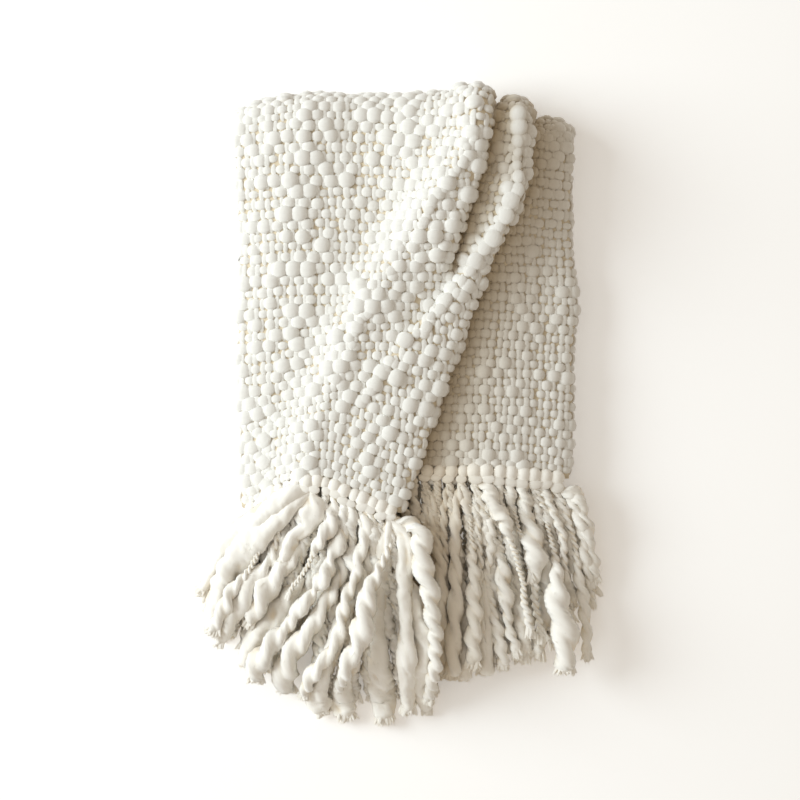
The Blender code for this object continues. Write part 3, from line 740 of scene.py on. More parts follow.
def woolYarn(name, finish):
    nodes = Nodes(name, wool["roughness"], wool["sheen"])
    depth, shelterShade = nodes.attribute("depth", 2), nodes.attribute("shelterShade", 2)
    fibre, place = nodes.attribute("fibre", 1), nodes.add("ShaderNodeTexCoord")[3]
    stretch = {0: fibre, 1: wool["drawnOut"]}
    stretched = nodes.add("ShaderNodeVectorMath", {"operation": "MULTIPLY"}, stretch)[0]
    strands = nodes.noise(stretched, finish["streaks"], 3.0)
    fuzz = nodes.noise(place, wool["fuzz"], 4.0)
    patch = nodes.noise(place, wool["patches"], 2.0)
    body = nodes.mixColours(patch * 0.5 + strands * 0.8, finish["cream"], finish["bright"])
    # painted shade: the depth attribute picks the crevice colour
    shade = nodes.add("ShaderNodeMapRange", {"interpolation_type": "SMOOTHSTEP"},
                      {0: depth, 1: wool["shade"][0], 2: wool["shade"][1], 3: 0.0, 4: 1.0})[0]
    # painted shade beside a fold or the fan, on the open wool and in the crevices
    deep = nodes.mixColours(shelterShade, finish["shelterShadeCrevice"], finish["crevice"])
    colour = nodes.mixColours(shade, deep, nodes.mixColours(shelterShade, finish["shelterShadeCream"], body))
    return nodes.finish(colour, strands * 0.7 + fuzz * 0.5, finish["bump"], wool["bumpDepth"])


ground = {
    "thick": 0.0042,
    # darker and warmer than the yarn: painted shade in the gaps between the yarns
    "dark": (0.66, 0.56, 0.40, 1),
    "pale": (0.74, 0.65, 0.50, 1),
    "fuzz": 300.0,
    "bumpDepth": 0.001,
}


def groundMaterial():
    nodes = Nodes("wool between the yarns", 0.95, 0.1)
    fuzz = nodes.noise(nodes.add("ShaderNodeTexCoord")[3], ground["fuzz"], 4.0)
    colour = nodes.mixColours(fuzz, ground["dark"], ground["pale"])
    return nodes.finish(colour, fuzz, 0.5, ground["bumpDepth"])


def makeGround():    # the sheet that the yarns are woven into, thin and closed
    rows = [rowAt(float(k), 2) for k in range(pickCount + 1)]
    across, along = len(rows[0]) - 1, len(rows) - 1
    bm = bmesh.new()
    bmesh.ops.create_grid(bm, x_segments=across, y_segments=along, size=0.5)
    for vert in bm.verts:
        vert.co = rows[round((vert.co.y + 0.5) * along)][round((vert.co.x + 0.5) * across)]
    mesh = bpy.data.meshes.new("groundCloth")
    bm.to_mesh(mesh)
    bm.free()
    mesh.shade_smooth()
    mesh.materials.append(groundMaterial())
    piece = addObject("groundCloth", mesh)
    solid = piece.modifiers.new("thickness", "SOLIDIFY")
    solid.thickness = ground["thick"]
    solid.offset = 0.0
    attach(piece, "root")
    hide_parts("throw")
    return piece


def makeYarns(name, lay, leftPart, rightPart):    # these picks or ends of the left surface and of the right
    threads = Threads()
    lay(threads, leftSurface, leftField, leftPart)
    lay(threads, rightSurface, rightField, rightPart)
    return threads.make(name, yarnMaterial, "cloth")


yarnMaterial = woolYarn("cream wool yarn", yarnFinish)
groundCloth = makeGround()
print("ground cloth made")

leftField = weaveField(leftSurface, 11, 0.66, 1.0)    # seed, share of thick stretches, their size
rightField = weaveField(rightSurface, 29, 0.40, 0.62)
frontEnd = weave["frontPicks"] + weave["turnPicks"] // 2 - 2    # the weft is parted here, near the fold
warpSplit = leftField["ends"] // 2 + 4
frontPicks, backPicks = range(frontEnd), range(frontEnd, pickCount)
outerEnds, innerEnds = range(warpSplit), range(warpSplit, leftField["ends"])
weftPieces = [makeYarns("weftFront", weftTubes, frontPicks, frontPicks),
              makeYarns("weftBack", weftTubes, backPicks, backPicks)]
warpPieces = [makeYarns("warpLeft", warpTubes, outerEnds, ()),
              makeYarns("warpRight", warpTubes, innerEnds, range(rightField["ends"]))]

ridgeLumps = {
    "spacing": 0.0160,
    "long": 0.0096,          # half sizes of a lump
    "wide": 0.0090,
    "high": 0.0078,
    "sizes": (0.62, 1.20),
    "up": 0.0005,            # how far its middle lies over the cloth's top
    "swing": 0.45,           # how far it turns off the fold
    "aside": 0.004,
    "margin": 0.004,         # bare length at either end of a fold
    "ahead": 0.01,
    "sides": 12,
}


def sideOf(along):    # level, and square to a way
    return Vector((-along.y, along.x, 0.0)).normalized()


def addRidge(threads, seed, name, low, high, fade, size, kept):    # the swollen yarn that shows along a fold
    rng = random.Random(seed)
    line, length = foldCurve(name, low, high)
    mark = ridgeLumps["margin"]
    while mark < length[-1] - ridgeLumps["margin"]:
        here, ahead = (Vector([np.interp(at, length, line[:, k]) for k in range(3)])
                       for at in (mark, mark + ridgeLumps["ahead"]))
        if mark + ridgeLumps["ahead"] < length[-1]:
            long = (ahead - here).normalized()
        swing = rng.uniform(-ridgeLumps["swing"], ridgeLumps["swing"])
        side = sideOf(long)
        turned = (long + side * swing).normalized()
        across = sideOf(turned)
        grown = size * rng.uniform(*ridgeLumps["sizes"]) * (1 - fade * step((mark / length[-1] - 0.35) / 0.6))
        middle = here + side * rng.uniform(-ridgeLumps["aside"], ridgeLumps["aside"])
        middle.z += clothSizes["thick"] / 2 + ridgeLumps["up"]
        if rng.random() < kept:
            halves = [ridgeLumps[key] * grown for key in ("long", "wide", "high")]
            addLobe(threads, middle, turned, across, worldUp, *halves, ridgeLumps["sides"])
        mark += ridgeLumps["spacing"] * mix(0.85, 1.1, rng.random()) * mix(0.7, 1.0, grown)


fringeSizes = {
    "stripEnd": 0.002,       # bare end of a run of knots
    "knee": 0.35,            # a hidden strand starts straight out for this share of its way
    "fall": 0.15,            # length in which a strand comes down from its knot
    "beside": 0.064,         # how the strands under it lift it, beside them and over them
    "slope": 0.054,
    "lockGap": 0.0030,
    "knotWide": 0.0088,      # half sizes of a knot's upper lobe
    "knotLong": 0.0082,
    "knotHigh": 0.0070,
    "wrapWide": 0.0074,      # and of the wrap under it
    "wrapLong": 0.0054,
    "wrapHigh": 0.0066,
    "holds": 0.030,          # a listed strand that starts nearer to a knot hangs from it
    "thin": 0.0036,          # half thickness of a strand where it is thinnest
    "thick": 0.0130,         # and in its puffs
    "puffLong": (0.030, 0.085),    # length of a puff, way to the next one and length in which it swells
    "puffGap": (-0.010, 0.030),
    "puffEdge": 0.020,
    "fill": 0.0056,          # least half thickness of the strands between the listed ones
    "fillLift": (-0.009, -0.003),    # how high those lie
    "fillPaintedShade": 1.0,         # and their painted shade, 1 for none
    "raise": 0.005,          # how much higher the listed strands lie
    "low": -0.009,           # but not the ones that are to lie lower than this
    # painted shade of the lowest listed strands
    "lowPaintedShade": 0.88,
    "hiddenPaintedShade": 0.75,      # painted shade of the runs hidden under the listed strands
    "loft": 0.22,            # how much more the thick stretches of a strand swell
    "streak": (0.045, 0.016),    # ridges along the fibres of untwisted and twisted wool
    "lump": 0.050,           # its lumps and its fuzz
    "fuzz": 0.020,
    "uneven": 0.07,          # how much thicker one ply is than the other
    "untwisted": 0.026,      # length that sets the rings of an untwisted strand
    "blunt": 0.008,          # length in which a strand's end narrows
    "brush": 46,             # torn fibres at the end of a listed strand, and loose ones on it
    "hairs": 34,
    "fillBrush": 10,
}
plies = {    # how far apart two plies are, how full each is and how soft the groove between them
    "thin": (0.47, 0.53, 0.05),
    "thick": (0.36, 0.67, 0.34),
    "untwisted": (0.30, 0.76, 0.25),
}
worldUp = Vector((0, 0, 1))
fringeColumns = ("name", "side", "first", "last", "locks", "height", "xLow", "xHigh", "tip")
fringeTable = (
    ("fringe_back", "back", "panelStart", "stripEnd", 18, 0.0045, -0.195, 0.215, -0.286),
    ("fringe_back_left", "back", "leftFlapDown", "leftFlapEdge", 14, 0.0045, -0.178, 0.160, -0.282),
    ("fringe_back_right", "back", "rightFlapDown", "rightFlapEdge", 14, 0.0045, -0.150, 0.195, -0.284),
    ("fringe_inner_right", "front", "rightFlapDown", "rightFlapEdge", 12, 0.0045, -0.120, 0.195, -0.288),
    ("fringe_inner_left", "front", "leftFlapDown", "leftFlapEdge", 12, 0.0045, -0.178, 0.110, -0.284),
    ("fringe_right", "front", "pocketLower", "stripEnd", 18, 0.0090, -0.085, 0.215, -0.316),
    ("fringe_pleat", "front", "edgeUnder", "pocketUpper", 5, 0.0060, -0.075, 0.020, -0.276),
    ("fringe_front", "front", "panelStart", "edgeTop", 17, 0.0100, -0.195, 0.010, -0.350),
)
fanTips = {    # where the other strands of the two runs on top end: place along the hem, x, y
    "fringe_front": ((0.00, -0.226, -0.232), (0.12, -0.214, -0.262), (0.25, -0.178, -0.302),
                     (0.50, -0.104, -0.348), (0.75, -0.030, -0.366), (1.00, 0.040, -0.350)),
    "fringe_right": ((0.00, 0.000, -0.305), (0.50, 0.098, -0.312), (0.80, 0.168, -0.292),
                     (1.00, 0.230, -0.230)),
}

# The strands that show, listed one by one: how drawn out their turns are (1 is usual, 0 is untwisted), how
# high they lie on the others, then x, y and half thickness along them.  Millimetres.
seenStrands = {
    "fringe_front": (
        (0.0, 0, ((-92, -81, 7), (-128, -105, 12), (-164, -129, 13), (-190, -157, 14), (-212, -187, 12),
                  (-234, -219, 7))),
        (0.0, 4, ((-100, -95, 6), (-140, -129, 12), (-172, -158, 15), (-196, -191, 16), (-211, -222, 14),
                  (-221, -263, 7))),
        (1.0, 24, ((-118, -118, 4), (-144, -137, 3.4), (-152, -153, 3.4), (-162, -169, 3.4),
                   (-174, -191, 4), (-184, -203, 7), (-196, -219, 9), (-206, -240, 10), (-217, -266, 8))),
        (1.3, 8, ((-112, -112, 6), (-140, -149, 5), (-147, -175, 6), (-160, -193, 10), (-177, -217, 13),
                  (-193, -243, 12), (-206, -268, 10), (-212, -281, 7))),
        (0.0, 12, ((-98, -84, 7), (-100, -100, 10), (-100, -118, 12.5), (-104, -138, 9), (-121, -150, 9),
                   (-127, -165, 10), (-134, -182, 6))),
        (1.0, 6, ((-100, -130, 6), (-112, -160, 9), (-128, -183, 11), (-146, -201, 13), (-158, -221, 15.5),
                  (-166, -240, 12), (-176, -257, 7))),
        (1.0, 16, ((-77, -100, 8), (-75, -127, 9.5), (-84, -148, 10.5), (-94, -163, 7), (-100, -176, 4),
                   (-106, -188, 3.4), (-115, -201, 3.4), (-124, -213, 3.4), (-128, -224, 3))),
        (1.0, 10, ((-58, -112, 6), (-62, -138, 6), (-68, -160, 11), (-79, -178, 7), (-85, -199, 12),
                   (-96, -213, 6), (-108, -229, 11), (-121, -246, 8), (-135, -265, 10), (-150, -281, 13),
                   (-164, -299, 14), (-166, -322, 10))),
        (1.2, 0, ((-60, -150, 7), (-62, -178, 9), (-63, -193, 8), (-72, -209, 8), (-85, -230, 10),
                  (-96, -253, 10), (-111, -270, 12), (-125, -290, 14), (-132, -313, 14.5),
                  (-131, -337, 10))),
        (1.3, 12, ((-38, -116, 7), (-36, -134, 8.5), (-38, -155, 8.5), (-45, -177, 7.5), (-48, -196, 7.5),
                   (-56, -215, 7.5), (-64, -238, 8), (-66, -262, 9), (-75, -281, 8.5), (-91, -303, 9.5),
                   (-104, -323, 9), (-112, -343, 6))),
        (1.0, 20, ((-1, -122, 6), (-4, -143, 5.5), (-11, -166, 5.5), (-22, -191, 7), (-32, -211, 11),
                   (-36, -231, 12), (-41, -252, 15.5), (-43, -273, 12), (-54, -293, 11), (-63, -318, 8.5),
                   (-68, -335, 5))),
        (0.0, 6, ((3, -125, 7), (8, -150, 8.5), (9, -190, 9.5), (10, -230, 9.5), (10, -270, 9.5),
                  (12, -315, 9.5), (14, -362, 9))),
        (0.9, 12, ((8, -122, 7), (20, -138, 11), (28, -156, 12.5), (29, -176, 12.5), (34, -195, 12.5),
                   (38, -215, 12), (41, -237, 11), (44, -256, 9), (45, -276, 8.5), (45, -298, 8.5),
                   (42, -321, 9), (38, -350, 7))),
        (0.0, -6, ((14, -200, 9), (24, -243, 11), (30, -270, 12), (29, -305, 11), (34, -345, 10),
                   (36, -364, 7))),
        (0.0, -10, ((-18, -150, 8), (-20, -210, 10), (-23, -263, 11), (-23, -303, 12), (-19, -338, 14),
                    (-14, -375, 12))),
        (0.0, -10, ((-30, -200, 8), (-46, -270, 10), (-60, -313, 12), (-67, -343, 14), (-61, -371, 12))),
        (0.0, -8, ((-60, -230, 8), (-74, -280, 10), (-88, -316, 12), (-94, -342, 14), (-86, -364, 10))),
        (0.0, -10, ((-110, -200, 10), (-136, -234, 13), (-154, -262, 13), (-172, -288, 13),
                    (-178, -308, 10))),
        (1.0, -10, ((-28, -122, 7), (-26, -150, 8), (-34, -187, 8), (-30, -230, 10), (-36, -280, 10))),
        (1.0, -12, ((-80, -150, 7), (-98, -200, 9), (-118, -240, 10), (-140, -280, 10), (-150, -312, 9))),
    ),
    "fringe_right": (
        (1.0, -4, ((38, -82, 5), (36, -95, 6), (37, -110, 6), (31, -137, 6.5), (33, -190, 8), (34, -260, 9),
                   (32, -310, 8))),
        (1.5, 0, ((50, -82, 5.5), (45, -102, 6), (42, -120, 6), (41, -140, 6.5), (46, -162, 7),
                  (52, -185, 8), (53, -210, 8.5), (52, -262, 9), (51, -318, 9))),
        (1.4, -3, ((59, -82, 5), (57, -104, 6), (55, -125, 6), (55, -142, 6), (57, -162, 6),
                   (58, -193, 5.5), (59, -228, 5.5), (60, -275, 7))),
        (1.6, 4, ((72, -82, 7), (70, -111, 7.5), (69, -142, 7.5), (68, -168, 7.5), (70, -193, 8.5),
                  (69, -228, 9.5), (67, -265, 10), (64, -318, 10))),
        (1.0, 8, ((81, -84, 5), (84, -106, 3.2), (86, -128, 3.2), (88, -154, 3.4), (89, -168, 6),
                  (89, -182, 7), (91, -200, 8.5), (90, -222, 9.5), (91, -245, 10), (91, -272, 10),
                  (89, -305, 9))),
        (1.6, 0, ((92, -86, 5), (95, -116, 4.8), (96, -149, 4.8), (98, -180, 5), (98, -230, 6),
                  (100, -290, 7))),
        (0.9, 14, ((94, -80, 8), (106, -93, 10.5), (112, -108, 10.5), (115, -120, 9.5), (126, -128, 9.5),
                   (130, -143, 8), (134, -157, 5.5), (140, -173, 4.2), (144, -190, 4), (149, -208, 4),
                   (149, -224, 5), (154, -245, 6), (158, -268, 6))),
        (1.0, 10, ((124, -88, 4), (130, -104, 2.8), (139, -125, 3), (144, -145, 3.4), (149, -157, 4),
                   (156, -176, 4), (158, -205, 4))),
        (0.9, 4, ((146, -90, 7), (153, -111, 8.5), (151, -126, 8.5), (158, -139, 10.5), (161, -159, 13),
                  (163, -176, 14.5), (165, -193, 8.5), (163, -210, 6), (164, -231, 5.5), (168, -252, 5.5),
                  (173, -275, 6))),
        (1.0, 10, ((163, -90, 7), (168, -106, 6), (173, -116, 4.5), (177, -135, 3.4), (182, -156, 3.4),
                   (186, -174, 5), (188, -190, 8), (188, -210, 12), (191, -236, 15), (196, -262, 16),
                   (199, -288, 15.5), (199, -312, 11))),
        (1.3, 6, ((166, -88, 5), (178, -108, 5.5), (186, -127, 5.8), (194, -145, 6), (197, -160, 6),
                  (198, -181, 5), (201, -205, 4))),
        (1.2, 2, ((184, -90, 6), (194, -111, 6), (201, -128, 5.5), (206, -145, 4.8), (211, -162, 4),
                  (213, -180, 5), (215, -198, 6.8), (220, -220, 7.5), (223, -245, 7.8), (225, -270, 7.5),
                  (226, -298, 6))),
        (1.1, -2, ((196, -88, 6), (205, -106, 8.5), (212, -121, 6.5), (218, -139, 9), (221, -157, 6.5),
                   (223, -176, 8.5), (227, -196, 7.5), (229, -214, 5))),
        (1.0, -2, ((208, -86, 6), (215, -108, 10.5), (221, -128, 7), (226, -148, 10.5), (229, -168, 7),
                   (233, -188, 9.5), (237, -207, 6))),
        (1.0, -4, ((205, -120, 6), (217, -160, 6.5), (224, -188, 6.5), (229, -212, 6), (234, -237, 4))),
        (1.1, -4, ((113, -88, 6), (114, -120, 7), (110, -149, 7.5), (112, -165, 7), (108, -185, 6),
                   (106, -202, 5.5), (110, -221, 5.5), (113, -236, 6), (117, -254, 7), (122, -279, 8),
                   (127, -308, 7.5))),
        (1.1, -2, ((118, -150, 5), (122, -176, 5.5), (124, -193, 9.8), (127, -211, 11), (130, -228, 9.8),
                   (130, -245, 7.2), (133, -262, 6.8), (139, -279, 7.2), (142, -295, 6))),
        (0.0, -10, ((75, -200, 9), (80, -260, 11), (79, -312, 12), (78, -322, 10))),
        (0.0, -10, ((104, -200, 8), (106, -260, 11), (104, -305, 12), (103, -315, 10))),
        (1.0, -10, ((138, -160, 7), (146, -220, 10), (150, -270, 12), (150, -300, 9))),
        (1.0, -10, ((166, -130, 7), (174, -190, 8), (176, -240, 10), (166, -296, 9))),
        (1.0, -10, ((90, -100, 6), (104, -130, 7), (118, -170, 8), (140, -230, 9), (150, -290, 9))),
    ),
}


def hemPlaces(fringe):    # middle of each lock's root, the way out from the cloth and the way up
    low, high = sorted((sectionNames.index(fringe["first"]), sectionNames.index(fringe["last"])))
    steps = np.cumsum([0] + [entry[1] for entry in sectionTable])
    hemShare, innerShare = (0.0, 0.02) if fringe["side"] == "front" else (1.0, 0.98)
    edge = clothRow(fringe["side"], hemShare)[steps[low]:steps[high] + 1]
    inner = clothRow(fringe["side"], innerShare)[steps[low]:steps[high] + 1]
    length = wayAlong(edge)
    pitch = (length[-1] - 2 * fringeSizes["stripEnd"]) / fringe["locks"]
    places = []
    for k in range(fringe["locks"]):
        mark = fringeSizes["stripEnd"] + (k + 0.5) * pitch
        here = Vector([np.interp(mark, length, edge[:, i]) for i in range(3)])
        behind = Vector([np.interp(mark, length, inner[:, i]) for i in range(3)])
        at = max(i for i in range(len(edge) - 1) if length[i] <= mark)
        out = (here - behind).normalized()
        across = Vector(edge[at + 1] - edge[at]).normalized()
        up = out.cross(across).normalized()
        places.append((here, out, -up if up.z < -0.1 else up))
    return places, pitch


def bedUnder(order, x, y):    # height of the locks under this strip's ones
    total = 0.0
    for row in fringeTable[:order]:
        lower = dict(zip(fringeColumns, row))
        past = min(x - lower["xLow"], lower["xHigh"] - x, y - lower["tip"])
        covered = step((past + fringeSizes["beside"]) / fringeSizes["slope"])
        total += (lower["height"] + fringeSizes["lockGap"]) * covered
    return total


def layRoute(order, flat, half, lift, root=None):    # lets a strand down from its knot onto the ones under it
    points = []
    past = 0.0
    for k, (x, y) in enumerate(flat):
        if k:
            past += math.dist(flat[k], flat[k - 1])
        rest = bedUnder(order, x, y) + 0.9 * half[k] + lift * step(past / 0.05)
        if root is not None:
            rest = mix(max(root.z, rest), rest, step(past / fringeSizes["fall"]))
            rest = mix(root.z, rest, step(past / 0.02))
        points.append((x, y, max(rest, 0.75 * half[k])))
    return np.array(points)


def hiddenRoute(root, tip, sway, count=30):    # from a knot to a strand's end, in plan
    start = Vector((root.x, root.y))
    way = (Vector((0.0, -1.0)) + (tip - start).normalized()).normalized()
    reach = (tip - start).length
    knee = start + way * reach * fringeSizes["knee"]
    flat = []
    for k in range(count + 1):
        t = k / count
        place = (1 - t) ** 2 * start + 2 * t * (1 - t) * knee + t * t * tip
        heading = ((1 - t) * (knee - start) + t * (tip - knee)).normalized()
        aside = Vector((-heading.y, heading.x))
        place = place + aside * sway[0] * math.sin(sway[1] + sway[2] * t) * step(3 * t)
        flat.append((place.x, place.y))
    return flat


def strandSwell(rng, length, puffs, spacing=0.002):    # half thickness along a strand
    count = int(length / spacing) + 2
    place = np.arange(count) * spacing
    size = np.full(count, fringeSizes["thin"])
    at = rng.uniform(-0.02, 0.05)
    while at < length:
        run = rng.uniform(*fringeSizes["puffLong"])
        high = mix(fringeSizes["thin"], fringeSizes["thick"], rng.uniform(0.35, 1.0) * puffs)
        share = swollen(place, at, run, fringeSizes["puffEdge"])
        size = np.maximum(size, mix(fringeSizes["thin"], high, share))
        at += run + rng.uniform(*fringeSizes["puffGap"])
    return place, size


def roughness(rng, rings, sides, streak):    # how far the wool's surface stands off a smooth one
    def field(alongPasses, roundPasses):
        bumps = rng.normal(size=(rings, sides))
        for _ in range(roundPasses):
            bumps = (np.roll(bumps, 1, axis=1) + 2 * bumps + np.roll(bumps, -1, axis=1)) / 4
        for _ in range(alongPasses):
            padded = np.concatenate([bumps[:1], bumps, bumps[-1:]])
            bumps = (padded[:-2] + 2 * bumps + padded[2:]) / 4
        return bumps / bumps.std()
    return streak * field(16, 1) + fringeSizes["lump"] * field(6, 6) + fringeSizes["fuzz"] * field(0, 0)


def plyShape(sides, apart, full, soft):    # how far the surface of two plies is from their middle, all round
    turn = np.arange(sides) * (2 * math.pi / sides)
    apart, full, soft = apart[:, None], full[:, None], soft[:, None]
    lobes = apart * (np.sqrt(np.cos(turn) ** 2 + soft ** 2) - soft)
    return lobes + np.sqrt(full ** 2 - (apart * np.sin(turn)) ** 2) + fringeSizes["uneven"] * np.cos(turn)


def addStrand(threads, rng, route, size, turns, sides, paintedShade, held=True):    # two plies, twisted or untwisted
    length = wayAlong(route)
    size = np.asarray(size) * (1 + fringeSizes["loft"] * np.clip((np.asarray(size) - 0.005) / 0.006, 0, 1))
    marks, at = [0.0], 0.0
    while at < length[-1]:
        half = float(np.interp(at, length, size))
        turn = fringeSizes["untwisted"]
        if turns:
            turn = half * turns * mix(3.5, 4.5, step((half - 0.003) / 0.006))
        at += max(turn / (0.52 * sides), 0.0009)
        marks.append(min(at, length[-1]))
    marks = np.array(marks)
    half = np.interp(marks, length, size)
    middle = np.stack([np.interp(marks, length, route[:, k]) for k in range(3)], axis=1)
    along = unit(np.gradient(middle, axis=0))
    side = unit(np.cross(along, np.array([0.0, 0.0, 1.0])))
    up = unit(np.cross(side, along))
    thick = np.clip((half - 0.003) / 0.006, 0, 1)
    thick = thick * thick * (3 - 2 * thick)
    turnLength = half * turns * (3.5 + thick) if turns else np.full(len(marks), 0.30)
    turn = rng.uniform(0, 6.28) + np.concatenate([[0.0], np.cumsum(
        np.diff(marks) * 4 * math.pi / (turnLength[1:] + turnLength[:-1]))])
    blunt = np.sqrt(np.clip((length[-1] - marks) / fringeSizes["blunt"], 0.14, 1))
    if not held:
        blunt = blunt * np.sqrt(np.clip(marks / 0.025, 0.05, 1))
    if turns:
        apart, full, soft = (mix(low, high, thick) for low, high in zip(plies["thin"], plies["thick"]))
    else:
        apart, full, soft = (np.full(len(marks), value) for value in plies["untwisted"])
    noise = np.random.default_rng(rng.randrange(1 << 30))
    rough = roughness(noise, len(marks), sides, fringeSizes["streak"][1 if turns else 0])
    shape = plyShape(sides, apart, full, soft) + rough * mix(0.6, 1.2, thick)[:, None]
    # the strand's painted shade goes to every ring
    threads.tube(middle, side, up, half * blunt, half * blunt * 0.92, paintedShade, sides,
                 along=rng.uniform(0, 9), rough=shape, twist=turn)
    return middle[-1], along[-1], half[-1]


def addBrush(threads, rng, end, along, half, count, paintedShade):    # the torn end of a strand
    along = Vector((along[0], along[1], 0.3 * along[2])).normalized()
    side, end, grown = sideOf(along), Vector(end), mix(0.6, 1.1, step(half / 0.010))
    for k in range(count):
        turn, far = rng.uniform(0, 6.28), math.sqrt(rng.random())
        off = side * math.cos(turn) * half * far + Vector((0, 0, math.sin(turn) * half * far * 0.8))
        fine = k % 4 == 3
        start = end - along * 0.013 + off * 0.50
        past = rng.uniform(-0.001, 0.0055) * grown + (0.0025 if fine else 0.0)
        way = end + along * past + off * rng.uniform(0.85, 1.08) - start
        bend = side * rng.uniform(-0.003, 0.003)
        thick = 0.0004 if fine else rng.uniform(0.0013, 0.0024) * grown
        points = [tuple(start + way * t + bend * t * t) for t in (0, 0.4, 0.75, 0.92, 1.0)]
        size = [thick * f for f in (0.7, 1.0, 1.0, 0.78, 0.36)]
        threads.tube(points, [side] * 5, [worldUp] * 5, size, size, paintedShade, 4 if fine else 6,
                     along=rng.uniform(0, 9))


def addHairs(threads, rng, route, size, count):    # loose fibres that stand off a strand
    for _ in range(count):
        k = rng.randrange(2, len(route) - 1)
        along = Vector(route[k] - route[k - 1]).normalized()
        turn = rng.uniform(-0.3, 3.44)
        out = sideOf(along) * math.cos(turn) + Vector((0, 0, math.sin(turn)))
        start = Vector(route[k]) + out * float(size[k]) * 0.85
        way = (along * rng.uniform(-0.6, 1.2) + out * rng.uniform(0.25, 0.8)).normalized()
        reach = rng.uniform(0.004, 0.010)
        bend = along * rng.uniform(-0.004, 0.006)
        points = [tuple(start + way * reach * t + bend * t * t) for t in (0, 0.5, 1.0)]
        thin = (0.00028, 0.00024, 0.00006)
        threads.tube(points, [sideOf(along)] * 3, [worldUp] * 3, thin, thin, 1.0, 3)


def addLobe(threads, middle, long, side, up, halfLong, halfWide, halfHigh, sides=10):    # a lump of yarn
    turns = np.linspace(-1.32, 1.32, 7)
    places = [tuple(middle + long * (halfLong * math.sin(a) / math.sin(1.32))) for a in turns]
    sizes = np.cos(turns * 0.97)
    # painted shade, darker towards the lobe's ends
    threads.tube(places, [side] * 7, [up] * 7, halfWide * sizes, halfHigh * sizes, 0.4 + 0.6 * sizes, sides,
                 along=middle.x * 50)


def addKnot(threads, rng, here, out, up, size):    # a lobe over a wrap, on the hem
    across = out.cross(up).normalized()
    lean = across * rng.uniform(-0.0012, 0.0012)
    addLobe(threads, here + out * 0.0005 + up * 0.0046 + lean, out, across, up,
            *[fringeSizes[key] * size for key in ("knotLong", "knotWide", "knotHigh")])
    tilt = rng.uniform(-0.55, 0.55)
    wrapLong = (across + out * tilt).normalized()
    wrapSide = (out - across * tilt).normalized()
    middle = here + out * rng.uniform(0.0088, 0.0125) * size + up * 0.0050 - lean * 1.5
    addLobe(threads, middle, wrapLong, wrapSide, up, fringeSizes["wrapWide"] * size,
            fringeSizes["wrapLong"] * size * rng.uniform(0.9, 1.2), fringeSizes["wrapHigh"] * size)


def laySeenStrand(threads, rng, order, roots, turns, lift, points):    # one of the listed ones, in millimetres
    points = [tuple(value / 1000 for value in point) for point in points]
    lift = lift / 1000
    root = min(roots, key=lambda place: math.dist(place[:2], points[0][:2]))
    held = math.dist(root[:2], points[0][:2]) < fringeSizes["holds"]
    if held:
        points[0] = (root.x, root.y, points[0][2])
    curve = smoothCurve(points, [8] * (len(points) - 1))
    flat, half = curve[:, :2].tolist(), curve[:, 2]
    if held:
        half = half * (0.55 + 0.45 * np.array([step(past / 0.022) for past in wayAlong(curve[:, :2])]))
    low = lift <= fringeSizes["low"]
    # painted shade on the lowest strands
    paintedShade = fringeSizes["lowPaintedShade"] if low else 1.0
    route = layRoute(order, flat, half, lift + (0.0 if low else fringeSizes["raise"]), root if held else None)
    end = addStrand(threads, rng, route, half, turns, 24 if half.max() > 0.0075 else 18, paintedShade, held)
    addBrush(threads, rng, *end, fringeSizes["brush"], paintedShade)
    addHairs(threads, rng, route, half, fringeSizes["hairs"])


def layStrand(threads, rng, order, root, tip, puffs, least, lift, paintedShade):    # one laid by rule
    flat = hiddenRoute(root, tip, (rng.uniform(0.001, 0.004), rng.uniform(0, 6.28), rng.uniform(4, 9)))
    length = wayAlong(flat)
    place, size = strandSwell(rng, length[-1], puffs)
    half = np.maximum(np.interp(length, place, size), least)
    route = layRoute(order, flat, half * 0.6, lift, root)
    end = addStrand(threads, rng, route, half, rng.choice((1.0, 1.4)), 12, paintedShade)
    addBrush(threads, rng, *end, fringeSizes["fillBrush"], paintedShade)


def makeFringe(order, material):
    fringe = dict(zip(fringeColumns, fringeTable[order]))
    node = fringe["name"]
    rng = random.Random(70 + order)
    threads = Threads()
    places, pitch = hemPlaces(fringe)
    roots = []
    for here, out, up in places:
        addKnot(threads, rng, here, out, up, rng.uniform(0.80, 1.16) * min(1.0, pitch / 0.0125))
        roots.append(here + out * 0.011 + up * 0.001)
    for turns, lift, points in seenStrands.get(node, ()):
        laySeenStrand(threads, rng, order, roots, turns, lift, points)
    if node in seenStrands:
        shares, tipX, tipY = zip(*fanTips[node])
        for k, root in [*enumerate(roots)] * 2:
            x, y = (np.interp(k / (len(roots) - 1), shares, ends) for ends in (tipX, tipY))
            tip = Vector((x + rng.uniform(-0.016, 0.016), y + rng.uniform(0.0, 0.022)))
            puffs, lift = rng.choice((0.6, 0.8, 1.0)), rng.uniform(*fringeSizes["fillLift"])
            # the fillers' painted shade
            least, paintedShade = fringeSizes["fill"], fringeSizes["fillPaintedShade"]
            layStrand(threads, rng, order, root, tip, puffs, least, lift, paintedShade)
    else:
        for root in roots:
            splay = 0.24 if root.x < 0 else 0.06
            x = root.x * (1 + splay) + rng.uniform(-0.006, 0.006)
            tip = Vector((x, fringe["tip"] + rng.uniform(0.002, 0.026)))
            puffs = rng.choice((0.4, 0.6, 0.85))
            # painted shade on the hidden runs
            layStrand(threads, rng, order, root, tip, puffs, 0.0, 0.0, fringeSizes["hiddenPaintedShade"])
    first, *others = node.split("_")
    name = first + "".join(word.capitalize() for word in others)
    return threads.make(name, material, "fringe", [node], 2.2)


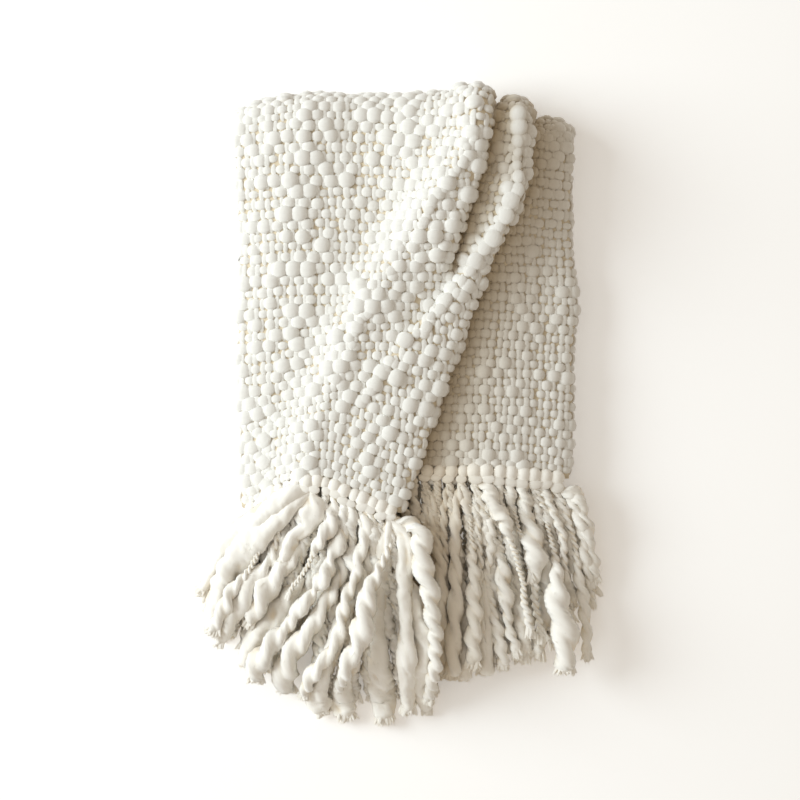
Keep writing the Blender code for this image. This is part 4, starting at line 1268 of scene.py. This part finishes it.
fringeMaterial = woolYarn("cream wool roving", rovingFinish)
fringePieces = [makeFringe(order, fringeMaterial) for order in range(len(fringeTable))]
ridgeThreads = Threads()
addRidge(ridgeThreads, 5, "ridge", 0.020, 0.345, 0.3, 0.86, 0.72)
addRidge(ridgeThreads, 8, "lip", 0.000, 0.345, 0.2, 1.0, 1.0)
ridgePiece = ridgeThreads.make("ridgeYarns", yarnMaterial, "cloth", ["throw"])


studio = {
    "cameraHeight": 3.0,
    "view": 0.960,           # metres across the view
    "centreX": 0.0036,
    "centreY": 0.009,
    "floorSize": 4.0,
    "floorColour": (0.97, 0.97, 0.97, 1),
    "floorGlow": 0.22,
    "fill": (1.0, 0.86, 0.69, 1),    # warm light from all round
    "fillStrength": 0.40,
    # name, place, size, power and colour; both lamps aim at the middle of the floor
    "lamps": (("key", (-4.4, 1.0, 2.44), 3.4, 240, (0.86, 0.95, 1.0)),
              ("top", (-0.9, 0.0, 2.4), 2.2, 9, (0.93, 0.97, 1.0))),
}


def makeFloor():
    bm = bmesh.new()
    bmesh.ops.create_grid(bm, x_segments=1, y_segments=1, size=studio["floorSize"])
    mesh = bpy.data.meshes.new("floor")
    bm.to_mesh(mesh)
    bm.free()
    material = bpy.data.materials.new("pale floor")
    material.use_nodes = True
    shader = material.node_tree.nodes["Principled BSDF"]
    shader.inputs["Base Color"].default_value = studio["floorColour"]
    shader.inputs["Roughness"].default_value = 0.9
    shader.inputs["Emission Color"].default_value = (1.0, 1.0, 1.0, 1)
    shader.inputs["Emission Strength"].default_value = studio["floorGlow"]
    mesh.materials.append(material)
    floor = addObject("floor", mesh)


def areaLight(name, place, size, power, colour):
    light = bpy.data.lights.new(name, "AREA")
    light.shape, light.size, light.energy, light.color = "DISK", size, power, colour
    lamp = addObject(name, light)
    lamp.location = place
    lamp.rotation_euler = (-Vector(place)).to_track_quat("-Z", "Y").to_euler()


def makeStudio():
    makeFloor()
    for lamp in studio["lamps"]:
        areaLight(*lamp)
    world = bpy.data.worlds.new("studio")
    world.use_nodes = True
    background = world.node_tree.nodes["Background"]
    background.inputs[0].default_value = studio["fill"]
    background.inputs[1].default_value = studio["fillStrength"]
    scene = bpy.context.scene
    scene.world = world
    scene.view_settings.view_transform = "Standard"
    camera = bpy.data.cameras.new("camera")
    camera.lens = camera.sensor_width * studio["cameraHeight"] / studio["view"]
    scene.camera = addObject("camera", camera)
    scene.camera.location = (studio["centreX"], studio["centreY"], studio["cameraHeight"])


makeStudio()
